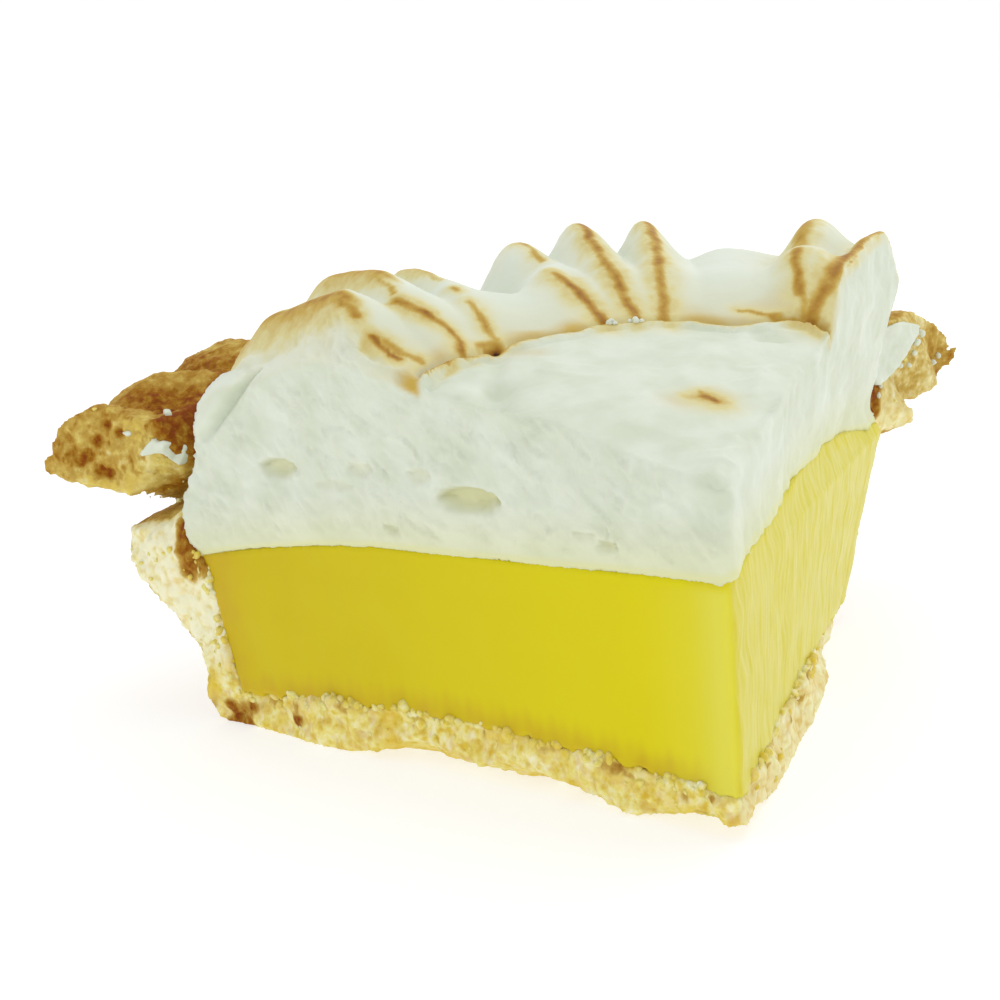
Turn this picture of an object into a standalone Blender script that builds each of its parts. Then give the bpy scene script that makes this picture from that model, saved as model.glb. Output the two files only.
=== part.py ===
"""Slice of lemon meringue pie, one fifth of a round pie about 26 cm across its crimped rim.

Metres, +Z up. The slice rests on the flat underside of its crust at z = 0, its point towards -Y and
its rim towards +Y, and the origin is the middle of its footprint. Three solids: the shortcrust case,
the lemon filling in it, and the meringue on top.
"""

import math

import bmesh
import bpy

MM = 0.001

# Heights are counted from the underside of the point, and the last step lifts the slice so that it
# rests at z = 0: the base reaches down a little further behind the point.

# The cut
HALF_ANGLE = math.radians(36)      # each cut face from the middle of the slice: a fifth of the pie
POINT_RADIUS = 1.5 * MM            # the point of the slice isn't a sharp edge
NOSE_LENGTH = 6 * MM               # its small round nose has died out this far back
GAP = 0.3 * MM                     # air kept between neighbouring solids
KNIFE_HEIGHT = 32 * MM             # below this height the right-hand cut runs inwards
KNIFE_DEPTH = 27 * MM              # over this height
KNIFE_LOW = 5.8 * MM               # by this much at the foot of the filling, at the rim
KNIFE_POWER = 1.2                  # and by less and less towards the point
KNIFE_HIGH = 4.5 * MM              # how far it runs outwards at the top of the meringue, at the rim
KNIFE_OUT = (40 * MM, 60 * MM)     # the heights between which it does so
KNIFE_HOLLOW = 2.0 * MM            # how far the foot of the meringue is drawn in, at the rim
HOLLOW_HEIGHT = 37 * MM
HOLLOW_SPREAD = 4 * MM
NARROWEST = 20 * MM                # nearer the point than this the lean stops growing as an angle

# Lemon filling
FILLING_FOOT = 93.5 * MM           # radius of its side carried down to height 0
FILLING_FLARE = 0.27               # how much the side leans outwards, per unit of height
FILLING_TOP = 32.6 * MM            # height of its top at the point of the slice
FILLING_EDGE = 100 * MM            # radius that its top reaches
LEFT_FALL = 2.4 * MM               # along the left cut the top falls this much to the edge
EDGE_FALL = 4.2 * MM               # and this much more near the edge
EDGE_FALL_FROM = 60 * MM
RIGHT_LIFT = 0.6 * MM              # along the right cut it starts this much higher
RIGHT_SWELL = 4.7 * MM             # and swells this much half-way out
RIGHT_SWELL_END = 104 * MM

# Shortcrust case
BASE_THICK = 3.9 * MM              # the base at the point
BASE_BELOW = 2.2 * MM              # away from the point it reaches down this much further
POINT_LIFTED = (8 * MM, 16 * MM)   # between these radii it does so
BASE_SWELL = 2.9 * MM              # how much thicker it is half-way out
WALL_FOOT = 9 * MM                 # thickness of the wall at its foot
WALL_TOP = 33 * MM                 # height at which the wall turns into the rim
WALL_TOP_THICK = 18 * MM
WALL_SLOPE = 3 * MM                # the top of the wall falls this much towards its outside
WALL_LEAN = 1.25                   # over 1: the outside leans out most near the top
FOOT_ROUNDING = 2 * MM             # the outer bottom edge is rounded by about this
STEP_OUT = 3.2 * MM                # the inside steps outwards just above the filling
RIM_MIDDLE = 118.5 * MM            # radius of the middle of the rolled rim
RIM_HEIGHT = 43.5 * MM             # height of that middle
RIM_RISE = 3.5 * MM                # how much higher the rim stands in its highest part
RIM_SAG = 2.0 * MM                 # how much lower it lies at its two ends
RIM_REACH = 13 * MM                # half of the rim's width
RIM_DEPTH = 7.6 * MM               # half of its thickness
RIM_DROOP = math.radians(-15)      # the rim hangs outwards
RIM_CREST_AT = -0.5                # where it stands highest: 0 the middle, -1 the left cut
RIM_CREST_WIDTH = 0.35
LIP_SWELL = 1.6 * MM               # the lip is rounder than the rest of the section
OVER_RIM = (178, 12)               # the turns round the rim's middle, in degrees, of its upper side
UNDER_RIM = (-118, -12)            # and of its under side
FLUTE_PITCH = math.radians(7.6)    # one crimp of the edge to the next
FLUTE_PHASE = math.radians(-37)
FLUTE_RISE = 2.6 * MM
FLUTE_OUT = 1.8 * MM
FLUTE_PINCH = 0.3                  # how much narrower a crimp's top is than its hollow
CHIP_R = 55.5 * MM                 # where a flake has gone from the underside, at the left cut
CHIP_DEPTH = 2.2 * MM
CHIP_LENGTH = 6 * MM
CHIP_WIDTH = 0.1                   # how far in from the cut it reaches, as a share of the slice
WORN_DEPTH = 2.6 * MM              # round the flake the underside is worn away by this
WORN_FROM = (18 * MM, 31 * MM)     # it begins between these radii
WORN_TO = (61 * MM, 68 * MM)       # and ends between these

# The broken ends of the case
RIM_END = math.radians(33.9)       # where the rim broke, at RIM_END_R
RIM_END_R = 102 * MM
RIM_END_LEAN = math.radians(0.185) / MM  # the break runs outwards by this towards the lip
NOTCH = math.radians(10)           # the bite out of the left end just below the rim
BASE_BACK = math.radians(3.6)      # how far the base has broken back at the right cut
WALL_BACK = math.radians(2.6)      # and how much further the lower wall has
RIGHT_START = math.radians(1.0)
RAGGED = math.radians(0.5)         # unevenness of both breaks
RIM_HOLDS = (25 * MM, 30 * MM)     # the heights between which the right end comes out again

# Meringue
POINT_TOP = 43.5 * MM              # top of the meringue at the point
VALLEY_R = 51 * MM                 # where the torn middle meets the browned border
VALLEY_TOP = 55.5 * MM
VALLEY_SWELL = 4 * MM              # the torn middle is higher between the cuts than at them
VALLEY_CLIMB = 0.75                # under 1: the middle climbs fastest near the point
VALLEY_EDGES = (48 * MM, 65 * MM)  # between these radii the valley rises to the border
BORDER_TOP = 63.5 * MM             # height of the border between its ridges
CUT_SAG = 3.5 * MM                 # the border sinks by this at the left cut
LEFT_DROOP = 4 * MM                # and droops by this towards the outside there
LEFT_DROOP_FROM = (70 * MM, 90 * MM)
SHOULDER_R = 97 * MM               # where the top turns down to the rim
SHOULDER_DROP = 9 * MM
SHOULDER_EDGES = (91 * MM, 98 * MM)
SIDE_R = 102.8 * MM                # the outside, where it rests in the step of the crust
SIDE_SWELL = 1.2 * MM
SWELL_HEIGHT = 6 * MM              # over the filling
SIDE_SLACK = 4 * MM                # the left end of the side slumps inwards by this
SIDE_SLACK_FROM = (44 * MM, 60 * MM)
DRAWN_IN_AT = 52 * MM              # by this height the side has drawn in to the shoulder
RIDGE_TAIL = 24 * MM               # a ridge sinks again over this length past its highest part
RIDGE_SINK = 0.8                   # by this share of its height

# Each ridge of the border: its angle from the middle of the slice, its height over the border, the
# radius of its highest part, and half of its width
RIDGES = (
    (math.radians(-31.5), 5.2 * MM, 71 * MM, 4.6 * MM),
    (math.radians(-22.5), 5.8 * MM, 77 * MM, 5.2 * MM),
    (math.radians(-14.0), 5.0 * MM, 84 * MM, 4.6 * MM),
    (math.radians(-1.6), 6.2 * MM, 94 * MM, 4.8 * MM),
    (math.radians(5.4), 8.4 * MM, 94 * MM, 4.2 * MM),
    (math.radians(12.7), 8.0 * MM, 94 * MM, 4.4 * MM),
    (math.radians(21.3), 2.0 * MM, 92 * MM, 5.4 * MM),
    (math.radians(29.6), 6.6 * MM, 94 * MM, 4.8 * MM),
    (math.radians(37.5), 3.6 * MM, 94 * MM, 4.6 * MM),
)


def ramp(x, low, high):
    """0 below low, 1 above high, and a smooth rise between."""
    share = min(1.0, max(0.0, (x - low) / (high - low)))
    return share * share * (3 - 2 * share)


def mix(a, b, share):
    return a + (b - a) * share


def hump(x, middle, half_width):
    """1 at the middle, falling smoothly to 0."""
    return math.exp(-(((x - middle) / half_width) ** 2))


# ------------------------------------------------------------------ surfaces that the solids share


def right_lean(radius, z):
    """How far the right-hand cut stands out of its upright plane: the knife leaned as it went in."""
    outwards = radius / FILLING_EDGE
    if z < KNIFE_HEIGHT:
        return KNIFE_LOW * outwards**KNIFE_POWER * (z - KNIFE_HEIGHT) / KNIFE_DEPTH
    drawn_in = KNIFE_HOLLOW * hump(z, HOLLOW_HEIGHT, HOLLOW_SPREAD)
    return outwards * (KNIFE_HIGH * ramp(z, *KNIFE_OUT) - drawn_in)


def cut_angle(radius, z, share):
    """The angle of a point that is this share of the way from the left cut to the right cut."""
    right = HALF_ANGLE + right_lean(radius, z) / max(radius, NARROWEST)
    return mix(-HALF_ANGLE, right, share)


def filling_top(radius, angle):
    near_edge = max(0.0, (radius - EDGE_FALL_FROM) / (FILLING_EDGE - EDGE_FALL_FROM))
    left = FILLING_TOP - LEFT_FALL * radius / FILLING_EDGE - EDGE_FALL * near_edge**1.5
    swell = max(0.0, math.sin(math.pi * min(1.0, radius / RIGHT_SWELL_END)))
    right = FILLING_TOP + RIGHT_LIFT + RIGHT_SWELL * swell**1.5
    return mix(left, right, (1 + math.sin(angle / HALF_ANGLE * math.pi / 2)) / 2)


def filling_side(z):
    return FILLING_FOOT + FILLING_FLARE * z


def base_top(radius):
    share = min(1.0, radius / filling_side(BASE_THICK))
    return BASE_THICK + BASE_SWELL * math.sin(math.pi * share)


def bowl_side(z, angle):
    """The inside of the crust wall, with the small step outwards just above the filling."""
    brim = filling_top(FILLING_EDGE, angle)
    return filling_side(z) + GAP + STEP_OUT * ramp(z, brim - 1.5 * MM, brim + 3 * MM)


# --------------------------------------------------------------------------------- building solids


def shaped_block(name, counts, place, material):
    """Cuts a block into a grid on every side, then moves each point of its skin with place()."""
    mesh = bmesh.new()
    bmesh.ops.create_cube(mesh, size=1.0)
    for axis in range(3):
        for step in range(1, counts[axis]):
            plane = [0.0, 0.0, 0.0]
            plane[axis] = step / counts[axis] - 0.5
            normal = [0.0, 0.0, 0.0]
            normal[axis] = 1.0
            skin = mesh.verts[:] + mesh.edges[:] + mesh.faces[:]
            bmesh.ops.bisect_plane(mesh, geom=skin, plane_co=plane, plane_no=normal, dist=1e-6)
    for vert in mesh.verts:
        vert.co = place(vert.co.x + 0.5, vert.co.y + 0.5, vert.co.z + 0.5)
    bmesh.ops.recalc_face_normals(mesh, faces=mesh.faces)
    if mesh.calc_volume(signed=True) < 0:
        bmesh.ops.reverse_faces(mesh, faces=mesh.faces)
    data = bpy.data.meshes.new(name)
    mesh.to_mesh(data)
    mesh.free()
    data.materials.append(material)
    solid = bpy.data.objects.new(name, data)
    bpy.context.collection.objects.link(solid)
    return solid


def on_pie(radius, angle, z, share):
    """A point of the pie. At the point of the slice it bulges forward into a small round nose."""
    nose = 0.5 * POINT_RADIUS * (1 - (2 * share - 1) ** 2) * (1 - ramp(radius, 0, NOSE_LENGTH))
    return (radius * math.sin(angle), radius * math.cos(angle) - nose, z)


def surface_material(name, colour, roughness):
    material = bpy.data.materials.new(name)
    material.use_nodes = True
    principled = material.node_tree.nodes["Principled BSDF"]
    principled.inputs["Base Color"].default_value = (*colour, 1.0)
    principled.inputs["Roughness"].default_value = roughness
    return material


# ------------------------------------------------------------------------------------ lemon filling


def place_filling(along, up, across):
    rough_angle = mix(-HALF_ANGLE, HALF_ANGLE, across)
    low = base_top(mix(POINT_RADIUS, filling_side(BASE_THICK), along)) + GAP
    z = mix(low, filling_top(mix(POINT_RADIUS, FILLING_EDGE, along), rough_angle), up)
    radius = mix(POINT_RADIUS, filling_side(z), along)
    return on_pie(radius, cut_angle(radius, z, across), z, across)


# ----------------------------------------------------------------------------------------- meringue


def ridge_height(radius, angle):
    """The swept ridges: each one starts at the valley and grows to its highest part further out."""
    total = 0.0
    for middle, height, crest_r, half_width in RIDGES:
        beside = (angle - middle) * radius
        growth = ramp(radius, VALLEY_EDGES[0] - MM, crest_r)
        fading = 1 - RIDGE_SINK * ramp(radius, crest_r, crest_r + RIDGE_TAIL)
        total = max(total, height * growth * fading * hump(beside, 0.0, half_width))
    return total


def meringue_top(radius, angle):
    """The dished top: a torn middle that climbs to the valley, then the ridged border."""
    across = angle / HALF_ANGLE
    climb = (min(radius, VALLEY_R) / VALLEY_R) ** VALLEY_CLIMB
    middle = mix(POINT_TOP, VALLEY_TOP + VALLEY_SWELL * (1 - across**2), climb)
    border = mix(middle, BORDER_TOP, ramp(radius, *VALLEY_EDGES))
    cut_sag = CUT_SAG * ramp(-across, 0.74, 1.0) * ramp(radius, VALLEY_R, VALLEY_R + 9 * MM)
    left_droop = LEFT_DROOP * ramp(-across, 0.5, 1.0) * ramp(radius, *LEFT_DROOP_FROM)
    shoulder = SHOULDER_DROP * ramp(radius, *SHOULDER_EDGES) ** 1.5
    return border + ridge_height(radius, angle) - cut_sag - left_droop - shoulder


def meringue_side(z, angle):
    """The outside of the meringue: it swells over the filling, then draws in up to the shoulder."""
    belly = filling_top(FILLING_EDGE, angle) + SWELL_HEIGHT
    swelling = SIDE_R + SIDE_SWELL * hump(z, belly, SWELL_HEIGHT)
    left_slack = SIDE_SLACK * ramp(-angle / HALF_ANGLE, 0.6, 1.0) * ramp(z, *SIDE_SLACK_FROM)
    drawn_in = mix(swelling, SHOULDER_R - 0.5 * MM, ramp(z, belly, DRAWN_IN_AT))
    return min(drawn_in - left_slack, bowl_side(z, angle) - 2 * GAP)


def place_meringue(along, up, across):
    rough_angle = mix(-HALF_ANGLE, HALF_ANGLE, across)
    reach = mix(POINT_RADIUS, SHOULDER_R, along)
    low = filling_top(mix(POINT_RADIUS, FILLING_EDGE, along), rough_angle) + GAP
    z = mix(low, meringue_top(reach, rough_angle), up)
    radius = mix(POINT_RADIUS, meringue_side(z, rough_angle), along)
    return on_pie(radius, cut_angle(radius, z, across), z, across)


# ------------------------------------------------------------------------------------------- crust


def rim_point(turn):
    """A point of the rolled rim's section, turn being the angle round its middle."""
    out = RIM_REACH * math.cos(turn)
    up = RIM_DEPTH * math.sin(turn)
    return (
        RIM_MIDDLE + out * math.cos(RIM_DROOP) - up * math.sin(RIM_DROOP),
        RIM_HEIGHT + out * math.sin(RIM_DROOP) + up * math.cos(RIM_DROOP),
    )


# Steps along the section: the base, the wall, then the rim
BASE_STEPS = 12
WALL_STEPS = 8
RIM_STEPS = 9
CRUST_STEPS = BASE_STEPS + WALL_STEPS + RIM_STEPS
BASE_SHARE = BASE_STEPS / CRUST_STEPS
WALL_SHARE = (BASE_STEPS + WALL_STEPS) / CRUST_STEPS


def crust_inside(along, angle):
    """Radius and height on the inside of the case, from the point out to the lip of the rim."""
    if along < BASE_SHARE:
        radius = mix(POINT_RADIUS, filling_side(BASE_THICK) + GAP, along / BASE_SHARE)
        return radius, base_top(radius)
    if along < WALL_SHARE:
        z = mix(BASE_THICK, WALL_TOP, (along - BASE_SHARE) / (WALL_SHARE - BASE_SHARE))
        return bowl_side(z, angle), z
    share = (along - WALL_SHARE) / (1 - WALL_SHARE)
    over = rim_point(math.radians(mix(*OVER_RIM, share)))
    start = (bowl_side(WALL_TOP, angle), WALL_TOP)
    blend = ramp(share, 0.0, 0.22)
    return mix(start[0], over[0], blend), mix(start[1], over[1], blend)


def crust_outside(along):
    """Radius and height on the outside of the case."""
    foot = filling_side(BASE_THICK) + WALL_FOOT - FOOT_ROUNDING
    if along < BASE_SHARE:
        return mix(POINT_RADIUS, foot, along / BASE_SHARE), -BASE_BELOW
    wall_out = filling_side(WALL_TOP) + WALL_TOP_THICK
    if along < WALL_SHARE:
        share = (along - BASE_SHARE) / (WALL_SHARE - BASE_SHARE)
        rounding = FOOT_ROUNDING * ramp(share, 0.0, 0.2) * (1 - share)
        radius = mix(foot, wall_out, share**WALL_LEAN) + rounding
        return radius, mix(-BASE_BELOW, WALL_TOP - WALL_SLOPE, share)
    share = (along - WALL_SHARE) / (1 - WALL_SHARE)
    under = rim_point(math.radians(mix(*UNDER_RIM, share)))
    blend = ramp(share, 0.0, 0.25)
    return mix(wall_out, under[0], blend), mix(WALL_TOP - WALL_SLOPE, under[1], blend)


def flute(angle):
    """The crimped edge: rounded waves, pinched narrow at their tops."""
    turn = (angle - FLUTE_PHASE) / FLUTE_PITCH * 2 * math.pi
    return math.cos(turn) + FLUTE_PINCH * math.cos(2 * turn)


def broken_end(radius):
    """Angle at which the rim broke: it stands further out towards its lip."""
    return RIM_END + RIM_END_LEAN * (radius - RIM_END_R)


def left_break(along, radius):
    """Angle of the crust's left end: level with the filling, notched just below the rim."""
    notch = NOTCH * hump(along, WALL_SHARE + 0.018, 0.03)
    ragged = RAGGED * math.sin(along * 41) * ramp(along, 0.1, 0.4)
    on_rim = ramp(along, WALL_SHARE - 0.01, WALL_SHARE + 0.08)
    return -mix(HALF_ANGLE, broken_end(radius), on_rim) + notch + ragged


def right_break(along, radius, z):
    """Angle of the crust's right end: the lower wall has broken away."""
    base_back = BASE_BACK * ramp(along, 0.13, 0.31)
    wall_back = WALL_BACK * ramp(along, 0.32, 0.42)
    ragged = RAGGED * math.sin(along * 37 + z / (5 * MM)) * ramp(along, 0.02, 0.12)
    low = HALF_ANGLE - RIGHT_START - base_back - wall_back
    return mix(low, broken_end(radius), ramp(z, *RIM_HOLDS)) + ragged


def rim_level(angle):
    """The rim isn't level: it rises left of the middle and sags at its two ends."""
    across = angle / HALF_ANGLE
    crest = RIM_RISE * hump(across, RIM_CREST_AT, RIM_CREST_WIDTH)
    return crest - RIM_SAG * ramp(abs(across), 0.6, 1.0)


def place_crust(along, through, across):
    rough_angle = mix(-HALF_ANGLE, HALF_ANGLE, across)
    inside = crust_inside(along, rough_angle)
    outside = crust_outside(along)
    radius = mix(inside[0], outside[0], through)
    z = mix(inside[1], outside[1], through)
    angle = mix(left_break(along, radius), right_break(along, radius, z), across)
    at_left = ramp(CHIP_WIDTH - across, 0.0, CHIP_WIDTH)
    chip = CHIP_DEPTH * hump(radius, CHIP_R, CHIP_LENGTH) * at_left
    worn = WORN_DEPTH * ramp(radius, *WORN_FROM) * (1 - ramp(radius, *WORN_TO)) * at_left
    lifted = BASE_BELOW * (1 - ramp(radius, *POINT_LIFTED))
    on_rim = ramp(along, WALL_SHARE + 0.04, 0.88)
    lip = LIP_SWELL * 4 * through * (1 - through) * ramp(along, 0.9, 1.0)
    wave = flute(angle) * on_rim
    radius += lip + FLUTE_OUT * wave
    z += (chip + worn + lifted) * through
    z += FLUTE_RISE * wave + rim_level(angle) * ramp(along, WALL_SHARE, 0.8)
    return on_pie(radius, angle, z, across)


# ------------------------------------------------------------------------------------- the slice

for existing in list(bpy.data.objects):
    bpy.data.objects.remove(existing, do_unlink=True)

parts = [
    shaped_block(
        "crust",
        (CRUST_STEPS, 2, 44),
        place_crust,
        surface_material("baked_shortcrust", (0.62, 0.40, 0.14), 0.75),
    ),
    shaped_block(
        "lemon_filling",
        (12, 4, 12),
        place_filling,
        surface_material("lemon_curd", (0.72, 0.56, 0.02), 0.3),
    ),
    shaped_block(
        "meringue",
        (18, 5, 44),
        place_meringue,
        surface_material("meringue", (0.80, 0.82, 0.76), 0.6),
    ),
]

# The origin goes to the middle of the footprint, on the surface that the slice rests on
corners = [vert.co for part in parts for vert in part.data.vertices]
middle_x = (min(c.x for c in corners) + max(c.x for c in corners)) / 2
middle_y = (min(c.y for c in corners) + max(c.y for c in corners)) / 2
for part in parts:
    for vert in part.data.vertices:
        vert.co.x -= middle_x
        vert.co.y -= middle_y
        vert.co.z += BASE_BELOW
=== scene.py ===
# %% [markdown]
# # A slice of lemon meringue pie
# The slice is three soft things on top of each other: a shortcrust case, a set lemon filling and a
# thick torched meringue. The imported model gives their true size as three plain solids. Here each one
# is modelled again over the same form, with the crumb, the tears and the browning of the real food.

# %% Load the frame
import itertools
import math

import bpy
import numpy as np
from mathutils import Matrix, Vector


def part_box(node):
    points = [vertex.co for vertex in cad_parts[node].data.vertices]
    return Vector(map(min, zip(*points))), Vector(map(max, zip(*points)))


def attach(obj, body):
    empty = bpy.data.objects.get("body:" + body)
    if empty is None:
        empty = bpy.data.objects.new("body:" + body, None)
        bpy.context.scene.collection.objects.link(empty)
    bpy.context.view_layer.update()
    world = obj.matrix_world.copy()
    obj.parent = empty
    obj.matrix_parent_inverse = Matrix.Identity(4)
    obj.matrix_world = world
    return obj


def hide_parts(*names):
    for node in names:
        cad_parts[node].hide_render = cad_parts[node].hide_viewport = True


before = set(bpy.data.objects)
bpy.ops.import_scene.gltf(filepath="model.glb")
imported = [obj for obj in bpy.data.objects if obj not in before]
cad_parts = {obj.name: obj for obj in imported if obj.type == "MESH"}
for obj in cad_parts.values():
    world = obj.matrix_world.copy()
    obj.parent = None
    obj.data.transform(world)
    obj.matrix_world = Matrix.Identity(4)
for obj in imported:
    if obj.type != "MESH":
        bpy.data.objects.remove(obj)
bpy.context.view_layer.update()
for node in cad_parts:
    low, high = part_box(node)
    print(node, "is", [round(1000 * side, 1) for side in high - low], "mm")

# %% [markdown]
# ## Millimetres from the pie's middle
# A pie is round, so every form on it is easiest to say with three numbers: how far from the middle
# of the whole pie, at what angle, and how high. The point of the slice is that middle, and it is the
# foremost vertex of the crust, so its place is read from the frame and nothing has to be fitted.

# %% The pie's own coordinates
MM = 0.001
CUT_DEGREES = 36    # each cut from the middle of the slice
HALF_ANGLE = math.radians(CUT_DEGREES)
POINT_RADIUS = 1.5  # the point of the slice isn't a sharp edge
NOSE_LENGTH = 6     # its small round nose has died out this far back
NOSE_AHEAD = 0.867  # the foremost vertex stands this far in front of the pie's middle
BASE_BELOW = 2.2    # heights start at the underside of the point, this far off the table

foremost = min((vert.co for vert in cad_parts["crust"].data.vertices), key=lambda co: co.y)
PIE_MIDDLE = np.array([foremost.x, foremost.y - NOSE_AHEAD * MM, BASE_BELOW * MM])
print("the pie's middle is at", np.round(1000 * PIE_MIDDLE, 2), "mm")


def ramp(x, low, high):
    """0 below low, 1 above high, and a smooth rise between."""
    share = np.clip((x - low) / (high - low), 0, 1)
    return share * share * (3 - 2 * share)


def mix(a, b, share):
    """a where share is 0, b where it is 1, and between them elsewhere."""
    return a + (b - a) * share


def hump(x, middle, half_width):
    """1 at the middle, falling smoothly to 0."""
    return np.exp(-(((x - middle) / half_width) ** 2))


def between(x, low, high, edge):
    """1 from low to high and 0 outside, with soft edges."""
    return ramp(x, low - edge, low + edge) * (1 - ramp(x, high - edge, high + edge))


def on_pie(radius, angle, z, share):
    """Points in millimetres. At the point of the slice they bulge forward into a small round nose."""
    nose = 0.5 * POINT_RADIUS * (1 - (2 * share - 1) ** 2) * (1 - ramp(radius, 0, NOSE_LENGTH))
    return np.stack([radius * np.sin(angle), radius * np.cos(angle) - nose, z], axis=1)


# %% [markdown]
# ## The forms that the layers share
# Where two layers meet they must have the same surface, or a gap would show at the cut. So the cuts,
# the top of the filling and the inside of the case are functions, used by each layer that has them.
# The right-hand cut isn't flat: the knife leaned as it went in, and the filling's foot ran inwards.

# %% Cuts and shared surfaces
KNIFE_HEIGHT = 32     # below this height the right-hand cut runs inwards
KNIFE_DEPTH = 27      # over this height
KNIFE_LOW = 5.8       # by this much at the foot of the filling, at the rim
KNIFE_POWER = 1.2
KNIFE_HIGH = 4.5      # how far it runs outwards at the top of the meringue, at the rim
KNIFE_OUT = (40, 60)  # the heights between which it does so
KNIFE_HOLLOW = 2.0    # how far the foot of the meringue is drawn in, at the rim
HOLLOW_HEIGHT = 37
HOLLOW_SPREAD = 4
NARROWEST = 20        # nearer the point than this the lean stops growing as an angle

FILLING_FOOT = 93.5   # radius of the filling's side carried down to height 0
FILLING_FLARE = 0.27  # how much the side leans outwards, per unit of height
FILLING_TOP = 32.6    # height of its top at the point of the slice
FILLING_EDGE = 100    # radius that its top reaches
LEFT_FALL = 2.4       # how far the top falls from there to its edge, along the left cut
EDGE_FALL = 4.2       # and how much more near the edge
EDGE_FALL_FROM = 60
RIGHT_LIFT = 0.6      # along the right cut it starts this much higher
RIGHT_SWELL = 4.7     # and swells by this much half-way out
RIGHT_SWELL_END = 104
BASE_THICK = 3.9      # height of the base's top at its point and at its edge
BASE_SWELL = 2.9      # and how much higher it is half-way out
STEP_OUT = 3.2        # the inside of the case steps outwards just above the filling
BASE_WAVES = ((0.35, 1.3, 0), (0.3, 2.9, 1))  # height, waves per millimetre in radians, start
OVERLAP = 0.5         # soft layers stick together, so each one sinks a little into the next


def right_lean(radius, z):
    """How far the right-hand cut stands out of its upright plane."""
    outwards = radius / FILLING_EDGE
    below = KNIFE_LOW * outwards**KNIFE_POWER * (z - KNIFE_HEIGHT) / KNIFE_DEPTH
    drawn_in = KNIFE_HOLLOW * hump(z, HOLLOW_HEIGHT, HOLLOW_SPREAD)
    above = outwards * (KNIFE_HIGH * ramp(z, *KNIFE_OUT) - drawn_in)
    return np.where(z < KNIFE_HEIGHT, below, above)


def right_cut(radius, z):
    """The angle of the right-hand cut."""
    return HALF_ANGLE + right_lean(radius, z) / np.maximum(radius, NARROWEST)


def cut_angle(radius, z, share):
    """The angle of a point that is this share of the way from the left cut to the right cut."""
    return mix(-HALF_ANGLE, right_cut(radius, z), share)


def filling_top(radius, angle):
    near_edge = np.maximum(0, (radius - EDGE_FALL_FROM) / (FILLING_EDGE - EDGE_FALL_FROM))
    left = FILLING_TOP - LEFT_FALL * radius / FILLING_EDGE - EDGE_FALL * near_edge**1.5
    swell = np.maximum(0, np.sin(np.pi * np.minimum(1, radius / RIGHT_SWELL_END)))
    right = FILLING_TOP + RIGHT_LIFT + RIGHT_SWELL * swell**1.5
    return mix(left, right, (1 + np.sin(angle / HALF_ANGLE * np.pi / 2)) / 2)


def filling_side(z):
    return FILLING_FOOT + FILLING_FLARE * z


def base_top(radius):
    share = np.minimum(1, radius / filling_side(BASE_THICK))
    waves = sum(high * np.sin(per_mm * radius + start) for high, per_mm, start in BASE_WAVES)
    return BASE_THICK + BASE_SWELL * np.sin(np.pi * share) + waves


def bowl_side(z, angle):
    """The inside of the crust wall."""
    brim = filling_top(FILLING_EDGE, angle)
    return filling_side(z) + STEP_OUT * ramp(z, brim - 1.5, brim + 3)


print("the filling is", round(float(filling_top(50, 0) - base_top(50)), 1), "mm deep half-way out")

# %% [markdown]
# ## From a cube to a soft solid
# Each layer starts as a cube whose skin is subdivided. Its three sides stand for "along the slice",
# "up" and "across", so moving every point by a rule turns the cube into a wedge with all its faces
# in one closed skin. A voxel remesh then gives the skin small even faces, which relief needs.
# Sculpting by hand would do the same, but a rule can be read and changed.

# %% Grid and remesh helpers
SKIN_CUTS = 100    # the most that one Subdivide makes
CALM_ROUNDS = 2    # of Smooth, after the remesh


def turn_faces(inside=False):
    """Makes all faces of the active piece look outwards, or inwards."""
    bpy.ops.object.mode_set(mode="EDIT")
    bpy.ops.mesh.select_all(action="SELECT")
    bpy.ops.mesh.normals_make_consistent(inside=inside)
    bpy.ops.object.mode_set(mode="OBJECT")


def apply_modifier(piece, modifier):
    bpy.context.view_layer.objects.active = piece
    bpy.ops.object.modifier_apply(modifier=modifier.name)


def read_points(piece):
    """The vertices in millimetres from the pie's middle."""
    flat = np.empty(len(piece.data.vertices) * 3)
    piece.data.vertices.foreach_get("co", flat)
    return (flat.reshape(-1, 3) - PIE_MIDDLE) / MM


def write_points(piece, points):
    piece.data.vertices.foreach_set("co", (points * MM + PIE_MIDDLE).ravel())
    piece.data.update()


def read_normals(piece):
    flat = np.empty(len(piece.data.vertices) * 3)
    piece.data.vertices.foreach_get("normal", flat)
    return flat.reshape(-1, 3)


def polar(points):
    """Radius and angle of each point round the pie's middle."""
    return np.hypot(points[:, 0], points[:, 1]), np.arctan2(points[:, 0], points[:, 1])


def even_skin(piece, voxel, calm_rounds):
    """Remeshes a piece to small even faces, then smooths away the steps between them."""
    even = piece.modifiers.new("even skin", "REMESH")
    even.mode = "VOXEL"
    even.voxel_size = voxel * MM
    apply_modifier(piece, even)
    calm = piece.modifiers.new("calm", "SMOOTH")
    calm.factor = 0.5
    calm.iterations = calm_rounds
    apply_modifier(piece, calm)


def survey(piece):
    """Points, normals, radii, angles and heights of a piece's vertices."""
    points = read_points(piece)
    radius, angle = polar(points)
    return points, read_normals(piece), radius, angle, points[:, 2]


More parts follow.
